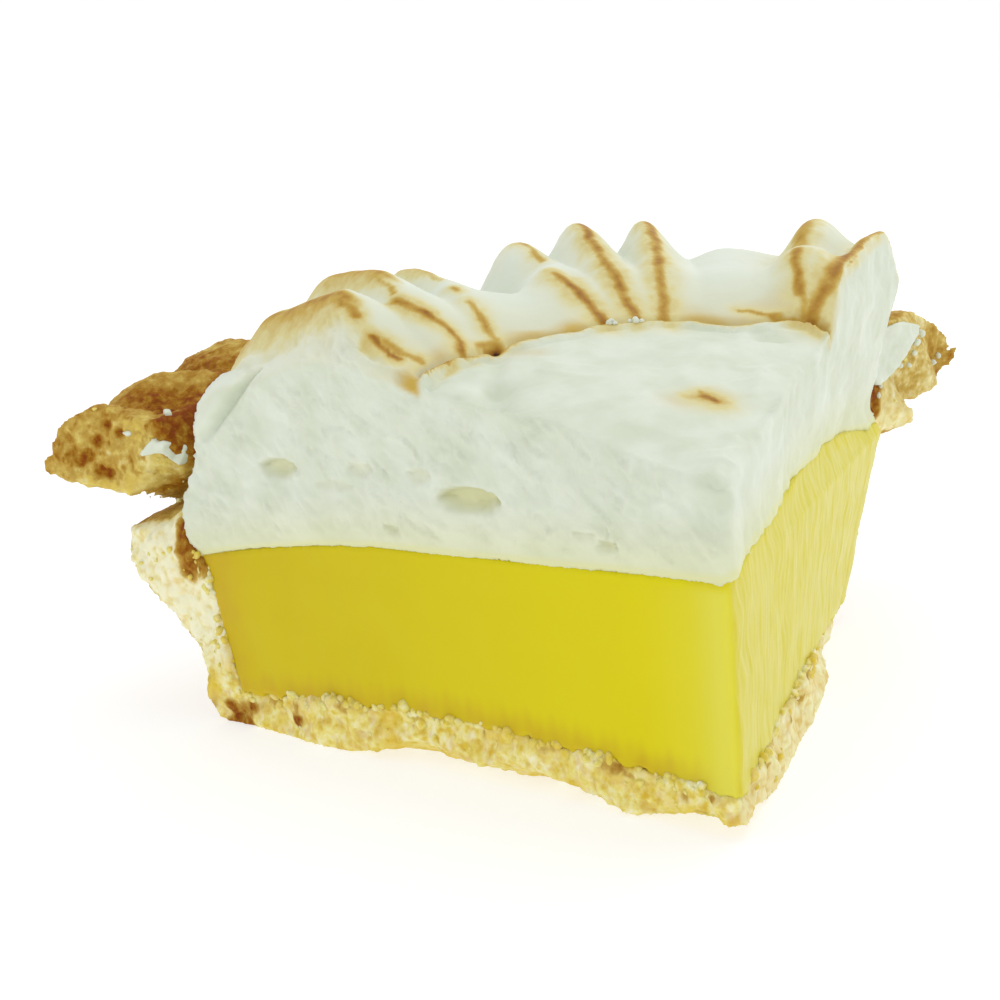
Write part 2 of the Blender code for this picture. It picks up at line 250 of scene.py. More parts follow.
def soft_block(name, place, voxel):
    """A subdivided cube, moved into shape by place(along, up, across) and remeshed to even faces."""
    bpy.ops.object.select_all(action="DESELECT")
    bpy.ops.mesh.primitive_cube_add(size=1, location=(0.5, 0.5, 0.5))
    block = bpy.context.object
    block.name = block.data.name = name
    bpy.ops.object.transform_apply(location=True)
    bpy.ops.object.mode_set(mode="EDIT")
    bpy.ops.mesh.select_all(action="SELECT")
    bpy.ops.mesh.subdivide(number_cuts=SKIN_CUTS)
    bpy.ops.object.mode_set(mode="OBJECT")
    flat = np.empty(len(block.data.vertices) * 3)
    block.data.vertices.foreach_get("co", flat)
    along, up, across = flat.reshape(-1, 3).T
    write_points(block, place(along, up, across))
    turn_faces()
    even_skin(block, voxel, CALM_ROUNDS)
    bpy.ops.object.shade_smooth()
    print(name, "has", 2 * len(block.data.polygons), "triangles")
    return block


# %% [markdown]
# ## Fewer faces where nothing shows
# The even skin spends as many faces on the surfaces where two layers touch as on the cuts. Those
# faces are never seen, so they are selected by their place and merged with Decimate, and what they
# free goes into a finer skin for the rest.

# %% Helper that thins out a hidden region
KEEP_SHARE = 0.06   # of the hidden faces
EDGE_MARGIN = 3.0   # millimetres from a cut that are never thinned out


def thin_out(piece, hidden):
    """Merges faces in the region where hidden is true for every point."""
    before = len(piece.data.polygons)
    piece.data.polygons.foreach_set("select", np.zeros(before, bool))
    piece.data.edges.foreach_set("select", np.zeros(len(piece.data.edges), bool))
    piece.data.vertices.foreach_set("select", hidden)
    bpy.ops.object.select_all(action="DESELECT")
    piece.select_set(True)
    bpy.context.view_layer.objects.active = piece
    bpy.ops.object.mode_set(mode="EDIT")
    bpy.ops.mesh.select_mode(type="VERT")
    bpy.ops.mesh.decimate(ratio=KEEP_SHARE)
    bpy.ops.object.mode_set(mode="OBJECT")
    turn_faces()
    piece.data.calc_loop_triangles()
    print(piece.name, "now has", len(piece.data.loop_triangles), "triangles")


def well_inside(radius, angle, z):
    """True where a point is well away from both cuts."""
    to_left = (angle + HALF_ANGLE) * radius
    to_right = (right_cut(radius, z) - angle) * radius
    return np.minimum(to_left, to_right) > EDGE_MARGIN


# %% [markdown]
# ## Unevenness
# Food is uneven at every size at once. Two kinds of noise cover it: `lumps`, soft swellings about
# one size across, and `grains`, packed round bits with creases between them, for crumb. Both take
# points in millimetres, so a size here is a size on the food, and stretching the points first makes
# streaks and drag marks. The numbers come from a fixed seed, so each run gives the same slice.

# %% Lumps and grains
DIRECTIONS = np.random.default_rng(5).normal(size=(1024, 3))
DIRECTIONS /= np.linalg.norm(DIRECTIONS, axis=1)[:, None]
SCATTER = np.random.default_rng(6).random(size=(1024, 3))
CELL_PRIMES = np.array([73856093, 19349663, 83492791])


def cell_number(cell):
    mixed = cell * CELL_PRIMES
    return (mixed[:, 0] ^ mixed[:, 1] ^ mixed[:, 2]) & 1023


def lumps(points, size, seed=0):
    """Smooth swellings about `size` across, from -1 to 1."""
    place = np.asarray(points) / size + 31.7 * seed
    cell = np.floor(place).astype(np.int64)
    inside = place - cell
    fade = inside**3 * (inside * (inside * 6 - 15) + 10)
    total = np.zeros(len(place))
    for corner in itertools.product((0, 1), repeat=3):
        corner = np.array(corner)
        weight = np.prod(np.where(corner, fade, 1 - fade), axis=1)
        slope = DIRECTIONS[cell_number(cell + corner)]
        total += weight * np.einsum("ij,ij->i", slope, inside - corner)
    return 1.7 * total


def layered(points, size, seed=0, layers=3):
    """Lumps on lumps, each layer half the size and half the height of the one before."""
    return sum(lumps(points, size / 2**k, seed + k) / 2**k for k in range(layers))


def relief(points, *swellings):
    """Adds up lumps, each given as (height, size, seed)."""
    return sum(height * lumps(points, size, seed) for height, size, seed in swellings)


def grains(points, size, seed=0):
    """Packed bits about `size` across: 1 at the middle of a bit, about 0 in the creases."""
    place = np.asarray(points) / size + 17.3 * seed
    cell = np.floor(place).astype(np.int64)
    nearest = np.full(len(place), 9.0)
    for step in itertools.product((-1, 0, 1), repeat=3):
        other = cell + np.array(step)
        gap = other + SCATTER[cell_number(other)] - place
        nearest = np.minimum(nearest, np.einsum("ij,ij->i", gap, gap))
    return 1 - np.minimum(1, np.sqrt(nearest))


def facing(normals, direction, softness=0.5):
    """1 where the surface looks in that direction, 0 where it looks well away from it."""
    direction = np.array(direction) / np.linalg.norm(direction)
    return ramp(normals @ direction, 1 - softness, 1 - 0.3 * softness)


LEFT = (-math.cos(HALF_ANGLE), -math.sin(HALF_ANGLE), 0)   # the way the left cut looks
RIGHT = (math.cos(HALF_ANGLE), -math.sin(HALF_ANGLE), 0)


def polar_point(radius, degrees):
    angle = math.radians(degrees)
    return np.array([radius * math.sin(angle), radius * math.cos(angle)])


def stroke(points, start, end, half_width):
    """1 on the line from start to end, each given as (radius, degrees), falling off to its sides."""
    a, b = polar_point(*start), polar_point(*end)
    share = np.clip((points[:, :2] - a) @ (b - a) / ((b - a) @ (b - a)), 0, 1)
    away = points[:, :2] - a - share[:, None] * (b - a)
    return np.exp(-np.einsum("ij,ij->i", away, away) / half_width**2)


def paint(piece, name, values):
    """Stores one number for each point, which a material reads as an attribute."""
    layer = piece.data.attributes.new(name, "FLOAT", "POINT")
    layer.data.foreach_set("value", np.clip(values, 0, 1).astype(np.float32))
    print(piece.name, name, "covers", round(100 * float(np.mean(values > 0.2)), 1), "% of its points")


# %% [markdown]
# ## Lemon filling
# Set lemon curd is smooth and firm. The left cut was clean and shines softly; on the right one the
# knife dragged, which left fine upright streaks and a slightly ragged upper edge. The form is the
# shared one, with very low swellings on the clean cut and stretched noise as the drag marks.

# %% Model the filling
def place_filling(along, up, across):
    rough_angle = mix(-HALF_ANGLE, HALF_ANGLE, across)
    low = base_top(mix(POINT_RADIUS, filling_side(BASE_THICK), along)) - OVERLAP
    z = mix(low, filling_top(mix(POINT_RADIUS, FILLING_EDGE, along), rough_angle), up)
    radius = mix(POINT_RADIUS, filling_side(z), along)
    return on_pie(radius, cut_angle(radius, z, across), z, across)


FILLING_SKIN = 0.42
DRAG_WIDTH = 1.0    # one drag mark to the next
DRAG_LENGTH = 8
DRAG_DEPTH = 0.13
DRAG_WANDER = 1.3   # the marks sway by this much

filling = soft_block("lemon_layer", place_filling, FILLING_SKIN)
_, _, radius, angle, z = survey(filling)
thin_out(filling, well_inside(radius, angle, z))

points, normals, radius, angle, z = survey(filling)
on_right = facing(normals, RIGHT)
on_left = facing(normals, LEFT)
swellings = relief(points, (0.2, 17, 1), (0.06, 5, 2))
sway = DRAG_WANDER * lumps(points, 6, 7)
drag = (points + sway[:, None]) / np.array([1, 1, DRAG_LENGTH / DRAG_WIDTH])
marks = relief(drag, (1, DRAG_WIDTH, 3), (0.8, 2.7 * DRAG_WIDTH, 4))
move = on_left * swellings + on_right * (DRAG_DEPTH * marks + 0.3 * lumps(points, 7, 5))
write_points(filling, points + normals * move[:, None])
paint(filling, "dragged", on_right)
top_gap = filling_top(radius, angle) - z
near_crust = np.maximum(1 - ramp(z - base_top(radius), 0, 4.5), ramp(radius, 88, 99))
paint(filling, "near_crust", near_crust * (0.6 + 0.3 * lumps(points, 3, 6)))
upper_rim = (1 - ramp(top_gap, 0.5, 2.6)) * np.maximum(on_right, 1 - ramp(radius, 5, 8))
paint(filling, "upper_rim", 0.8 * upper_rim)
# Painted highlight: the round nose of the point is painted pale, and the left cut is painted paler
# towards the point.
pale_point = 0.6 * hump(radius, 2, 3) * (1 - on_right) + 0.3 * on_left * (1 - ramp(radius, 3, 16))
paint(filling, "pale_point", pale_point * ramp(top_gap, 0.5, 2.0))
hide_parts("lemon_filling")
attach(filling, "root")

# %% [markdown]
# ## Meringue: the form
# The cook spread the meringue with a spatula: the border was pulled up into ridges that run out to
# the rim, each crest curving a little as the pie was turned. The skin tore along a ring half-way in
# when the slice was cut, so the middle shows soft open foam behind a raised lip. Each ridge is a row
# of driving numbers, and one function builds them all.

# %% Meringue dimensions
POINT_TOP = 43.5            # height of the top at the point of the slice
VALLEY_R = 51               # where the torn middle meets the browned border
VALLEY_TOP = 55.5           # height of the middle there, at the cuts
VALLEY_SWELL = 4            # half-way across it is this much higher
VALLEY_CLIMB = 0.75         # below 1 the middle climbs fast at first
VALLEY_EDGES = (48, 65)     # radii between which the border rises
BORDER_TOP = 63.5           # height of the border between its ridges
CUT_SAG = 3.5               # at the left cut the border sags by this much
CUT_SAG_LENGTH = 9          # reaching it this far past the tear
LEFT_DROOP = 4              # and further out it droops by this much more
LEFT_DROOP_FROM = (70, 90)
GAP_DEPTH = 5.0             # a dip in the border, between two ridges
GAP_ANGLE = math.radians(-9.0)
GAP_WIDTH = math.radians(3.6)
GAP_FROM = (60, 78)
SHOULDER_R = 97             # where the top ends
SHOULDER_DROP = 9           # how far it comes down towards its end
SHOULDER_EDGES = (88, 98)
SIDE_R = 102.8              # radius of the side
SIDE_SWELL = 1.2            # how far its belly stands out
SWELL_HEIGHT = 6            # how far the belly is above the filling's edge
SIDE_SLACK = 2              # towards the left cut the side gives way by this much
SIDE_SLACK_FROM = (44, 60)
DRAWN_IN_AT = 52            # height at which the side has drawn in to the shoulder
RIDGE_TAIL = 24             # past its highest part a ridge sinks over this length
CREST_SKEW = 0.12           # a crest is this much steeper on its left side
UNION = 5                   # the higher, the sharper the valley between two ridges

# Each ridge: the degrees of its crest out at the rim and at its foot, its height over the border,
# the radius of its highest part, half of its width, how flat its crest is (2 is round), and the
# share of its height that it loses over its tail
RIDGES = (
    (-30.5, -33.6, 5.4, 72, 4.8, 2.2, 0.25),
    (-22.5, -25.0, 6.0, 78, 5.2, 2.2, 0.3),
    (-13.8, -16.7, 5.2, 84, 4.6, 2.2, 0.8),
    (-1.35, 1.85, 6.5, 90, 5.6, 2.4, 0.8),
    (5.5, 7.4, 9.0, 90, 5.2, 2.2, 0.8),
    (12.7, 12.0, 8.5, 90, 4.7, 2.2, 0.8),
    (21.9, 22.1, 2.6, 90, 7.5, 2.2, 0.8),
    (31.4, 33.7, 6.8, 90, 5.0, 2.2, 0.8),
    (38.4, 37.8, 4.4, 90, 5.0, 2.2, 0.8),
)

# %% Meringue surfaces
def crest_angle(ridge, radius):
    outer, foot = math.radians(RIDGES[ridge][0]), math.radians(RIDGES[ridge][1])
    return mix(foot, outer, ramp(radius, 50, 78))


def ridge_height(radius, angle):
    total = np.zeros(len(radius))
    for ridge, (_, _, height, crest_r, half_width, flatness, sink) in enumerate(RIDGES):
        beside = (angle - crest_angle(ridge, radius)) * radius / half_width
        beside = np.abs(beside) * (1 - CREST_SKEW * np.sign(beside))
        growth = ramp(radius, VALLEY_EDGES[0] - 1, crest_r)
        fading = 1 - sink * ramp(radius, crest_r, crest_r + RIDGE_TAIL)
        total += (height * growth * fading * np.exp(-(beside**flatness))) ** UNION
    return total ** (1 / UNION)


def seam_radius(angle):
    """The ring along which the browned skin tore."""
    wander = 0.6 * np.sin(angle * 9) + 0.3 * np.sin(angle * 23 + 1)
    return 49.9 + 3.4 * hump(angle, math.radians(33), math.radians(9)) + wander


def swirl(radius, angle):
    """Two lobes of the border folded over: a swelling, then a groove behind it."""
    degrees = np.degrees(angle)
    lobes = between(degrees, -11.5, -1.0, 2.5) + 0.8 * between(degrees, 27, 36, 2)
    return lobes * (1.5 * hump(radius, 66, 4.5) - 1.9 * hump(radius, 75.5, 4))


def torn_seam(radius, angle):
    """The raised lip of the tear and the groove behind it."""
    seam = seam_radius(angle)
    degrees = np.degrees(angle)
    gape = 0.6 + 0.8 * ramp(degrees, 26, 33) + 1.2 * hump(degrees, -19, 1.3)
    gape *= ramp(degrees, -35.5, -32.5)
    lip = (0.7 - 0.8 * hump(degrees, -19, 1.6)) * hump(radius, seam - 0.3, 0.6)
    return lip - 1.3 * gape * hump(radius, seam + 1.0, 0.8)


def meringue_top(radius, angle):
    across = angle / HALF_ANGLE
    climb = (np.minimum(radius, VALLEY_R) / VALLEY_R) ** VALLEY_CLIMB
    middle = mix(POINT_TOP, VALLEY_TOP + VALLEY_SWELL * (1 - across**2), climb)
    border = mix(middle, BORDER_TOP, ramp(radius, *VALLEY_EDGES))
    cut_sag = CUT_SAG * ramp(-across, 0.74, 1.0) * ramp(radius, VALLEY_R, VALLEY_R + CUT_SAG_LENGTH)
    left_droop = LEFT_DROOP * ramp(-across, 0.5, 1.0) * ramp(radius, *LEFT_DROOP_FROM)
    shoulder = SHOULDER_DROP * ramp(radius, *SHOULDER_EDGES) ** 1.5
    shoulder *= 1 - 0.5 * ramp(-across, 0.3, 0.7)
    gap = GAP_DEPTH * hump(angle, GAP_ANGLE, GAP_WIDTH) * ramp(radius, *GAP_FROM)
    height = border - gap + ridge_height(radius, angle) - cut_sag - left_droop - shoulder
    return height + swirl(radius, angle) + torn_seam(radius, angle)


def meringue_side(z, angle):
    belly = filling_top(FILLING_EDGE, angle) + SWELL_HEIGHT
    swelling = SIDE_R + SIDE_SWELL * hump(z, belly, SWELL_HEIGHT)
    left_slack = SIDE_SLACK * ramp(-angle / HALF_ANGLE, 0.6, 1.0) * ramp(z, *SIDE_SLACK_FROM)
    drawn_in = mix(swelling, SHOULDER_R - 0.5, ramp(z, belly, DRAWN_IN_AT))
    return np.minimum(drawn_in - left_slack, bowl_side(z, angle))


def place_meringue(along, up, across):
    rough_angle = mix(-HALF_ANGLE, HALF_ANGLE, across)
    reach = mix(POINT_RADIUS, SHOULDER_R, along)
    low = filling_top(mix(POINT_RADIUS, FILLING_EDGE, along), rough_angle) - OVERLAP
    top_angle = cut_angle(reach, BORDER_TOP, across)
    z = mix(low, meringue_top(reach, top_angle), up)
    radius = mix(POINT_RADIUS, meringue_side(z, rough_angle), along)
    return on_pie(radius, cut_angle(radius, z, across), z, across)


MERINGUE_SKIN = 0.49
meringue = soft_block("meringue_top", place_meringue, MERINGUE_SKIN)
_, _, radius, angle, z = survey(meringue)
touching = (z < filling_top(radius, angle) + 0.6) | ((radius > bowl_side(z, angle) - 1.2) & (z < 36))
thin_out(meringue, touching & well_inside(radius, angle, z))

# %% [markdown]
# ## Meringue: cuts, tears and bubbles
# A blade through foam leaves a soft cottony face: broad swellings with thin raised wrinkles on them,
# drawn out along the way the blade went, and here and there the dent of an air bubble. The skin of
# the border is smooth and rolls softly over the edge of the cut. Each region is found by where its
# surface looks, and gets its own relief along its normal.

# %% Relief of the cut meringue
# Bubbles in the left cut: radius, height, half length, half height, depth
BUBBLES = (
    (80.8, 41.4, 4.3, 1.6, 1.5),
    (63.5, 42.4, 2.6, 1.3, 0.55),
    (51.5, 42.3, 3.0, 1.2, 0.6),
    (42.6, 39.6, 6.2, 2.0, 2.0),
    (18.8, 35.4, 2.0, 0.7, 0.9),
    (22.5, 36.6, 2.2, 0.5, 0.4),
    (58.0, 34.0, 2.0, 0.7, 0.5),
    (69.0, 39.6, 4.0, 0.9, 0.35),
)


def bubble_dents(radius, z):
    """Flat oval dents whose upper edge is sharp and whose lower edge runs out softly."""
    total = np.zeros(len(radius))
    for middle, height, half_long, half_high, depth in BUBBLES:
        away = np.hypot((radius - middle) / half_long, (z - height) / half_high)
        upper = ramp(1 - away, 0.0, 0.22)
        lower = ramp(1.15 - away, 0.0, 0.9)
        total += depth * np.where(z > height, upper, lower)
    return total


def wrinkles(points, size, seed):
    """Thin raised lines, like those of crumpled tissue."""
    here = ramp(lumps(points, 2.3 * size, seed + 9), -0.5, 0.5)
    return hump(lumps(points, size, seed), 0, 0.17) * here


def lobe_side(radius, z):
    """Millimetres outwards from the fold line of the smooth lobe at the left cut's outer end."""
    return 0.672 * (radius - 85.3) + 0.741 * (z - 55.3)


def left_cut_relief(points, radius, z):
    """Wrinkles run down the cut towards the point of the slice."""
    down_cut = np.stack([0.8 * radius + 0.6 * z, 2.6 * (0.6 * radius - 0.8 * z), 0 * z], axis=1)
    cotton = relief(points, (0.55, 12, 11), (0.34, 5.5, 12)) + relief(down_cut, (0.18, 4, 13))
    cotton += 0.46 * wrinkles(down_cut, 6.5, 14) + 0.3 * wrinkles(down_cut, 3.2, 15)
    cotton += relief(down_cut, (0.12, 1.9, 16))
    beyond = lobe_side(radius, z)
    window = between(z, 45.5, 58, 1.5)
    lobe = 1.4 * ramp(beyond, -0.1, 1.2) - 1.1 * ramp(beyond, 3.0, 5.4)
    folds = 1.1 * hump(beyond, -0.5, 0.5) - 0.4 * hump(beyond, -1.8, 0.8)
    return cotton * (1 - 0.9 * ramp(beyond, -2.5, -0.5) * window) + (lobe - folds) * window


def notch_in_cut(radius, z):
    """A three-cornered facet that was torn out of the upper edge of the left cut."""
    over = z - (53 + 0.63 * (39.7 - radius))
    return 0.62 * np.clip(over, 0, 4) * (1 - ramp(radius, 39.6, 40.6)) * ramp(radius, 30, 33)


def right_cut_relief(points):
    soft = relief(points, (0.6, 11, 21), (0.32, 5, 22), (0.2, 2.4, 23))
    return soft + 0.24 * wrinkles(points, 5, 24) + relief(points, (0.08, 1.3, 25))


def torn_top_relief(points):
    """Broader, softer swellings, with a fold, a scooped hollow and the upper end of the notch."""
    drawn = points / np.array([1.8, 1, 1])
    torn = 0.7 * lumps(drawn, 9, 31) + 0.3 * lumps(points, 4.5, 32) + 0.28 * wrinkles(drawn, 4.5, 33)
    torn *= 1 - 0.8 * stroke(points, (22.5, 14), (24.5, 18), 4)
    ledge = stroke(points, (2, -CUT_DEGREES), (12.5, 26), 0.9) + stroke(points, (27, 30), (36, 30), 1.0)
    scoop = 0.8 * stroke(points, (48, 28), (48.5, 30.5), 1.4)
    notch = 1.5 * stroke(points, (37, -37), (40, -29), 2.4)
    notch += 0.8 * stroke(points, (41, -29), (47.5, -21), 1.6)
    return torn + 0.4 * ledge - scoop - notch


# %% Sculpt the meringue
LEFT_ROLL = 2.4     # how softly the skin rolls over the edge of the left cut
RIGHT_ROLL = 1.4
TORN_ROLL = 1.5
CUT_DEPTH = (3, 5)  # a cut's own relief ends this far in from its plane


def rolled(points, sculpted, into, side, roll):
    """Rounds the edge between the top and one cut; into is how far in from the cut a point is."""
    radius, angle = polar(points)
    inwards = np.maximum(0, roll - into)
    below = np.maximum(0, roll - (meringue_top(radius, angle) - points[:, 2]))
    corner = np.hypot(inwards, below)
    pull = np.where(corner > roll, 1 - roll / np.maximum(corner, roll), 0)
    return sculpted - np.outer(pull * inwards, side) - np.outer(pull * below, (0, 0, 1))


points, normals, radius, angle, z = survey(meringue)
from_left = (angle + HALF_ANGLE) * radius
from_right = (right_cut(radius, z) - angle) * radius
on_left = facing(normals, LEFT, 0.7) * (1 - ramp(from_left, *CUT_DEPTH))
on_right = facing(normals, RIGHT, 0.7) * (1 - ramp(from_right, *CUT_DEPTH))
middle = 1 - ramp(radius, seam_radius(angle) - 0.5, seam_radius(angle) + 0.5)
bubbles = bubble_dents(radius, z) * on_left

skin_relief = relief(points, (0.3, 8, 41), (0.08, 3, 42))
top_relief = mix(skin_relief, torn_top_relief(points), middle)
calm_foot = ramp(z - filling_top(radius, angle), 0.3, 2.5)  # it lies flush with the filling
move = on_left * (left_cut_relief(points, radius, z) * calm_foot - notch_in_cut(radius, z)) - bubbles
move += on_right * right_cut_relief(points) + (1 - on_left) * (1 - on_right) * top_relief
sculpted = points + normals * move[:, None]
left_roll = mix(0.6 * TORN_ROLL, LEFT_ROLL, ramp(radius, 52, 64))
sculpted = rolled(points, sculpted, from_left, LEFT, left_roll)
sculpted = rolled(points, sculpted, from_right, RIGHT, mix(RIGHT_ROLL, 0.5 * TORN_ROLL, middle))
write_points(meringue, sculpted)

# %% [markdown]
# ## Meringue: where the torch caught it
# A torch browns what stands up: the crests of the ridges, in narrow lines with a soft golden edge,
# and a veil on the side of the ridges nearest the left cut. Sugar syrup has run to the foot of the
# border and dried there yellow. These places are painted on the points as attributes, `toast` and
# `syrup`, which the material turns into colour.

# %% Where the torch caught it
# Burnt lines: their points as (radius, degrees), half width, strength
BURNS = (
    (((72, -30.9), (68, -32.2), (64, -33.3)), 0.8, 0.5),
    (((76, -23.2), (71, -24.3), (66, -25.4)), 0.7, 0.38),
    (((83, -14), (77, -14.7), (72, -15.3)), 0.7, 0.3),
    (((91, -0.9), (83.5, -0.6), (76, -0.5)), 0.8, 0.45),
    (((65, -1.7), (62, -0.4), (57.7, 0.5), (54, 1.2), (50.6, 1.7)), 1.0, 0.66),
    (((91, 6.3), (77, 5.8), (67, 5.7), (60, 6.2), (55, 6.9), (51, 7.2)), 0.95, 0.64),
    (((92, 13.6), (76, 13.4), (63, 12.7), (56, 12.2), (51, 11.4)), 1.05, 0.6),
    (((90, 30.6), (77, 30.6), (71, 31)), 1.8, 0.45),
    (((67, 30.9), (62, 31.8), (57.5, 33.1)), 1.0, 0.55),
    (((57.5, 33.1), (54.5, 34.5)), 1.0, 0.4),
    (((55, 35.2), (58, 35.8), (62, 36.8), (68, 37.6), (76, 37.8)), 1.3, 0.62),
    (((76, 37.8), (86, 37.8), (97, 37.8)), 1.5, 0.55),
)

# Scorched places, the same way
SCORCHES = (
    (((61, -33.7), (56, -33.5)), 0.6, 0.7),
    (((59.5, -32.8), (53, -31.3)), 0.8, 0.45),
    (((64, -26.4), (61, -25.3), (58.6, -24.2)), 0.75, 0.66),
    (((58.6, -24.2), (56.6, -22.9), (55, -22.8), (52.4, -24.2), (50.4, -24.6)), 0.65, 0.6),
    (((66.5, -15.9), (65, -16)), 0.6, 0.5),
    (((61, -16.2), (57.8, -16.5), (55.5, -17.1), (52.5, -17.1)), 0.75, 0.45),
    (((51.4, -32.6), (50.6, -28.5)), 0.55, 0.85),
    (((50.8, -28), (51.2, -23.5)), 0.5, 0.6),
    # This one is painted shade: the deep gap where the seam tore open is painted near black.
    (((51.5, -20.0), (51.3, -18.2)), 0.55, 1.5),
    (((53.6, 33.5), (53.2, 36.2)), 0.9, 0.85),
    (((54.6, 24), (54.6, 33)), 0.5, 0.5),
    (((24.0, 14.4), (22.6, 18.0)), 1.0, 0.75),
    (((25.6, 14.2), (24.4, 15.0)), 0.7, 0.5),
)

# Soft veils on the left side of a crest: which ridge, from and to what radius, depth, strength
VEILS = (
    (0, 66, 99, 3.0, 0.56),
    (1, 70, 99, 2.7, 0.52),
    (2, 76, 99, 2.2, 0.42),
    (3, 84, 97, 2.0, 0.25),
    (7, 84, 97, 2.5, 0.2),
)


def lines_on(points, lines, halo):
    """Toast along lines: a core, and round it a halo of golden skin."""
    total = np.zeros(len(points))
    for places, half_width, strength in lines:
        for start, end in zip(places, places[1:]):
            core = strength * stroke(points, start, end, half_width)
            soft = halo * strength * stroke(points, start, end, 3.1 * half_width)
            total = np.maximum(total, np.maximum(core, soft))
    return total


def veils_on(radius, angle):
    total = np.zeros(len(radius))
    for ridge, near, far, depth, strength in VEILS:
        beside = (angle - crest_angle(ridge, radius)) * radius
        side = np.where(beside < 0, np.exp(beside / depth), hump(beside, 0, 1.2))
        window = ramp(radius, near - 5, near + 4) * (1 - ramp(radius, far - 4, far + 3))
        ends = 1 - ramp(-beside, 2 * depth, 4 * depth)
        total = np.maximum(total, strength * window * side * ends)
    return total


def seam_line(radius, angle):
    """A thin brown line where the skin broke."""
    degrees = np.degrees(angle)
    strength = 0.3 + 0.12 * between(degrees, -1, 17, 2) + 0.15 * ramp(degrees, 22, 30)
    strength += 0.3 * (1 - ramp(degrees, -28, -20))
    strength *= ramp(degrees, -35.4, -33.5)
    return strength * hump(radius, seam_radius(angle) - 0.1, 0.42)


def syrup_on(points, radius, angle):
    degrees = np.degrees(angle)
    behind = radius - seam_radius(angle)
    pools = 0.9 + 0.35 * between(degrees, -9, 1, 3) + 0.3 * between(degrees, 12, 21, 3)
    pools += 0.35 * ramp(degrees, 22, 29) + 0.2 * (1 - ramp(degrees, -22, -10))
    depth = 5 + 3 * ramp(degrees, 20, 30) + 1.8 * lumps(points, 6, 50)
    band = ramp(behind, -0.8, 0.8) * (1 - ramp(behind, 0.8, depth))
    halo = 0.45 * stroke(points, (22.5, 7), (24.5, 19), 2.6)
    halo += 0.3 * stroke(points, (50, -18), (46, -14), 1.8)
    return band * pools * (0.85 + 0.4 * lumps(points, 4, 51)) + halo


# %% Paint the meringue
points, normals, radius, angle, z = survey(meringue)
sunk = meringue_top(radius, angle) - z
near_top = (1 - ramp(sunk, 1.6, 3.0)) * (1 - 0.7 * facing(normals, RIGHT, 0.5))
uneven = 0.98 + 0.28 * lumps(points, 3.2, 52) + 0.12 * lumps(points, 1.3, 53)
wander = [relief(points, (1, 4, seed), (0.5, 1.6, seed + 2)) for seed in (54, 55)]
wobbly = points + 0.5 * np.stack([*wander, 0 * radius], axis=1)
toast = np.maximum(lines_on(wobbly, BURNS, 0.36), lines_on(wobbly, SCORCHES, 0.4))
toast = np.maximum.reduce([toast, veils_on(radius, angle), seam_line(radius, angle)])
paint(meringue, "toast", toast * uneven * near_top)
paint(meringue, "syrup", syrup_on(points, radius, angle) * near_top)
paint(meringue, "skin", (1 - middle) * near_top)
paint(meringue, "outer_skin", ramp(radius - seam_radius(angle), 2, 20) * near_top)
# Painted shade: the bubble dents and the torn notch in the left cut are painted a darker warm grey.
paint(meringue, "hollow", 0.45 * bubbles + 0.5 * notch_in_cut(radius, z) * on_left)
# Painted bounce light: the foam is painted yellow above the filling, fading out over 9 mm, and
# strongest in the lowest millimetre, over the shaded seam.
above_filling = z - filling_top(radius, angle)
painted_bounce = 0.45 * (1 - ramp(above_filling, 0, 9)) + 0.5 * (1 - ramp(above_filling, 0.2, 1.4))
paint(meringue, "lemon_tint", painted_bounce)
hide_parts("meringue")
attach(meringue, "root")

# %% [markdown]
# ## Shortcrust case: the form
# The case is one sheet of pastry: a base, a wall that slants outwards, and a rim rolled over and
# crimped into waves. Its section is two lines, the inside and the outside, and the block is stretched
# between them. The slice broke more than it cut here, so both ends of the case are ragged: the left
# one is bitten out just below the rim, and at the right one the lower wall has gone.

# %% Crust dimensions
WALL_TOP = 33            # height at which the inside of the wall turns into the rim
WALL_SLOPE = 3           # on the outside that is this much lower
WALL_HEIGHTS = (-2.2, 0, 4, 7, 10, 12.5, 15, 18, 21, 25, 30)  # the outside of the wall
WALL_RADII = (101.0, 101.6, 101.8, 103.2, 105.6, 109.0, 110.2, 113.2, 116.2, 119.4, 120.4)
RIM_MIDDLE = 118.5       # the rim's section is an oval: the radius of its middle,
RIM_HEIGHT = 43.5        # the height of its middle,
RIM_REACH = 13           # half its width,
RIM_DEPTH = 7.6          # half its thickness
RIM_DROOP = math.radians(-15)  # and how it hangs outwards
RIM_RISE = 4.4           # across the slice it rises by this much,
RIM_CREST_AT = -0.5      # most at this place, from -1 at the left cut to 1 at the right one,
RIM_CREST_WIDTH = 0.35
RIM_SAG = 2.8            # and sinks by this much at both ends
LIP_SWELL = 1.6          # how far the lip bulges
OVER_RIM = (178, 12)     # degrees round the oval along its upper side, from the wall to the lip
UNDER_RIM = (-118, -12)  # and along its lower side
FLUTE_RISE = 2.2         # how much a crimp rises
FLUTE_OUT = 1.5          # and how far it stands out
CRESTS = (-36.3, -30.3, -23.0, -15.4, -8.1, -0.4, 7.3, 14.8, 22.4, 29.8, 37.2)  # degrees
FLUTE_PLACES = (0, 0.04, 0.11, 0.25, 0.45, 0.75, 1.0)  # from one crest to the next
FLUTE_LEVELS = (1.0, 0.6, -0.5, 0.1, 0.55, 1.0, 1.0)
CREST_SLANT = 0.3        # degrees for each millimetre outwards
SLANT_FROM = 122
INNER_FALL = 0.36        # near the left cut the rim's top falls this steeply inwards
SLUMP_OVER = (26, 33)    # the degrees over which that sets in
LEFT_END = (31, 36)      # the degrees over which the rim's left end gets its own form
CALM_LIP = (126, 133)    # its waves die out between these radii
PINCH = 0.25             # it gets thinner towards its lip, by this share
PINCH_FROM = (112, 131)
PINCH_HEIGHT = 42.5
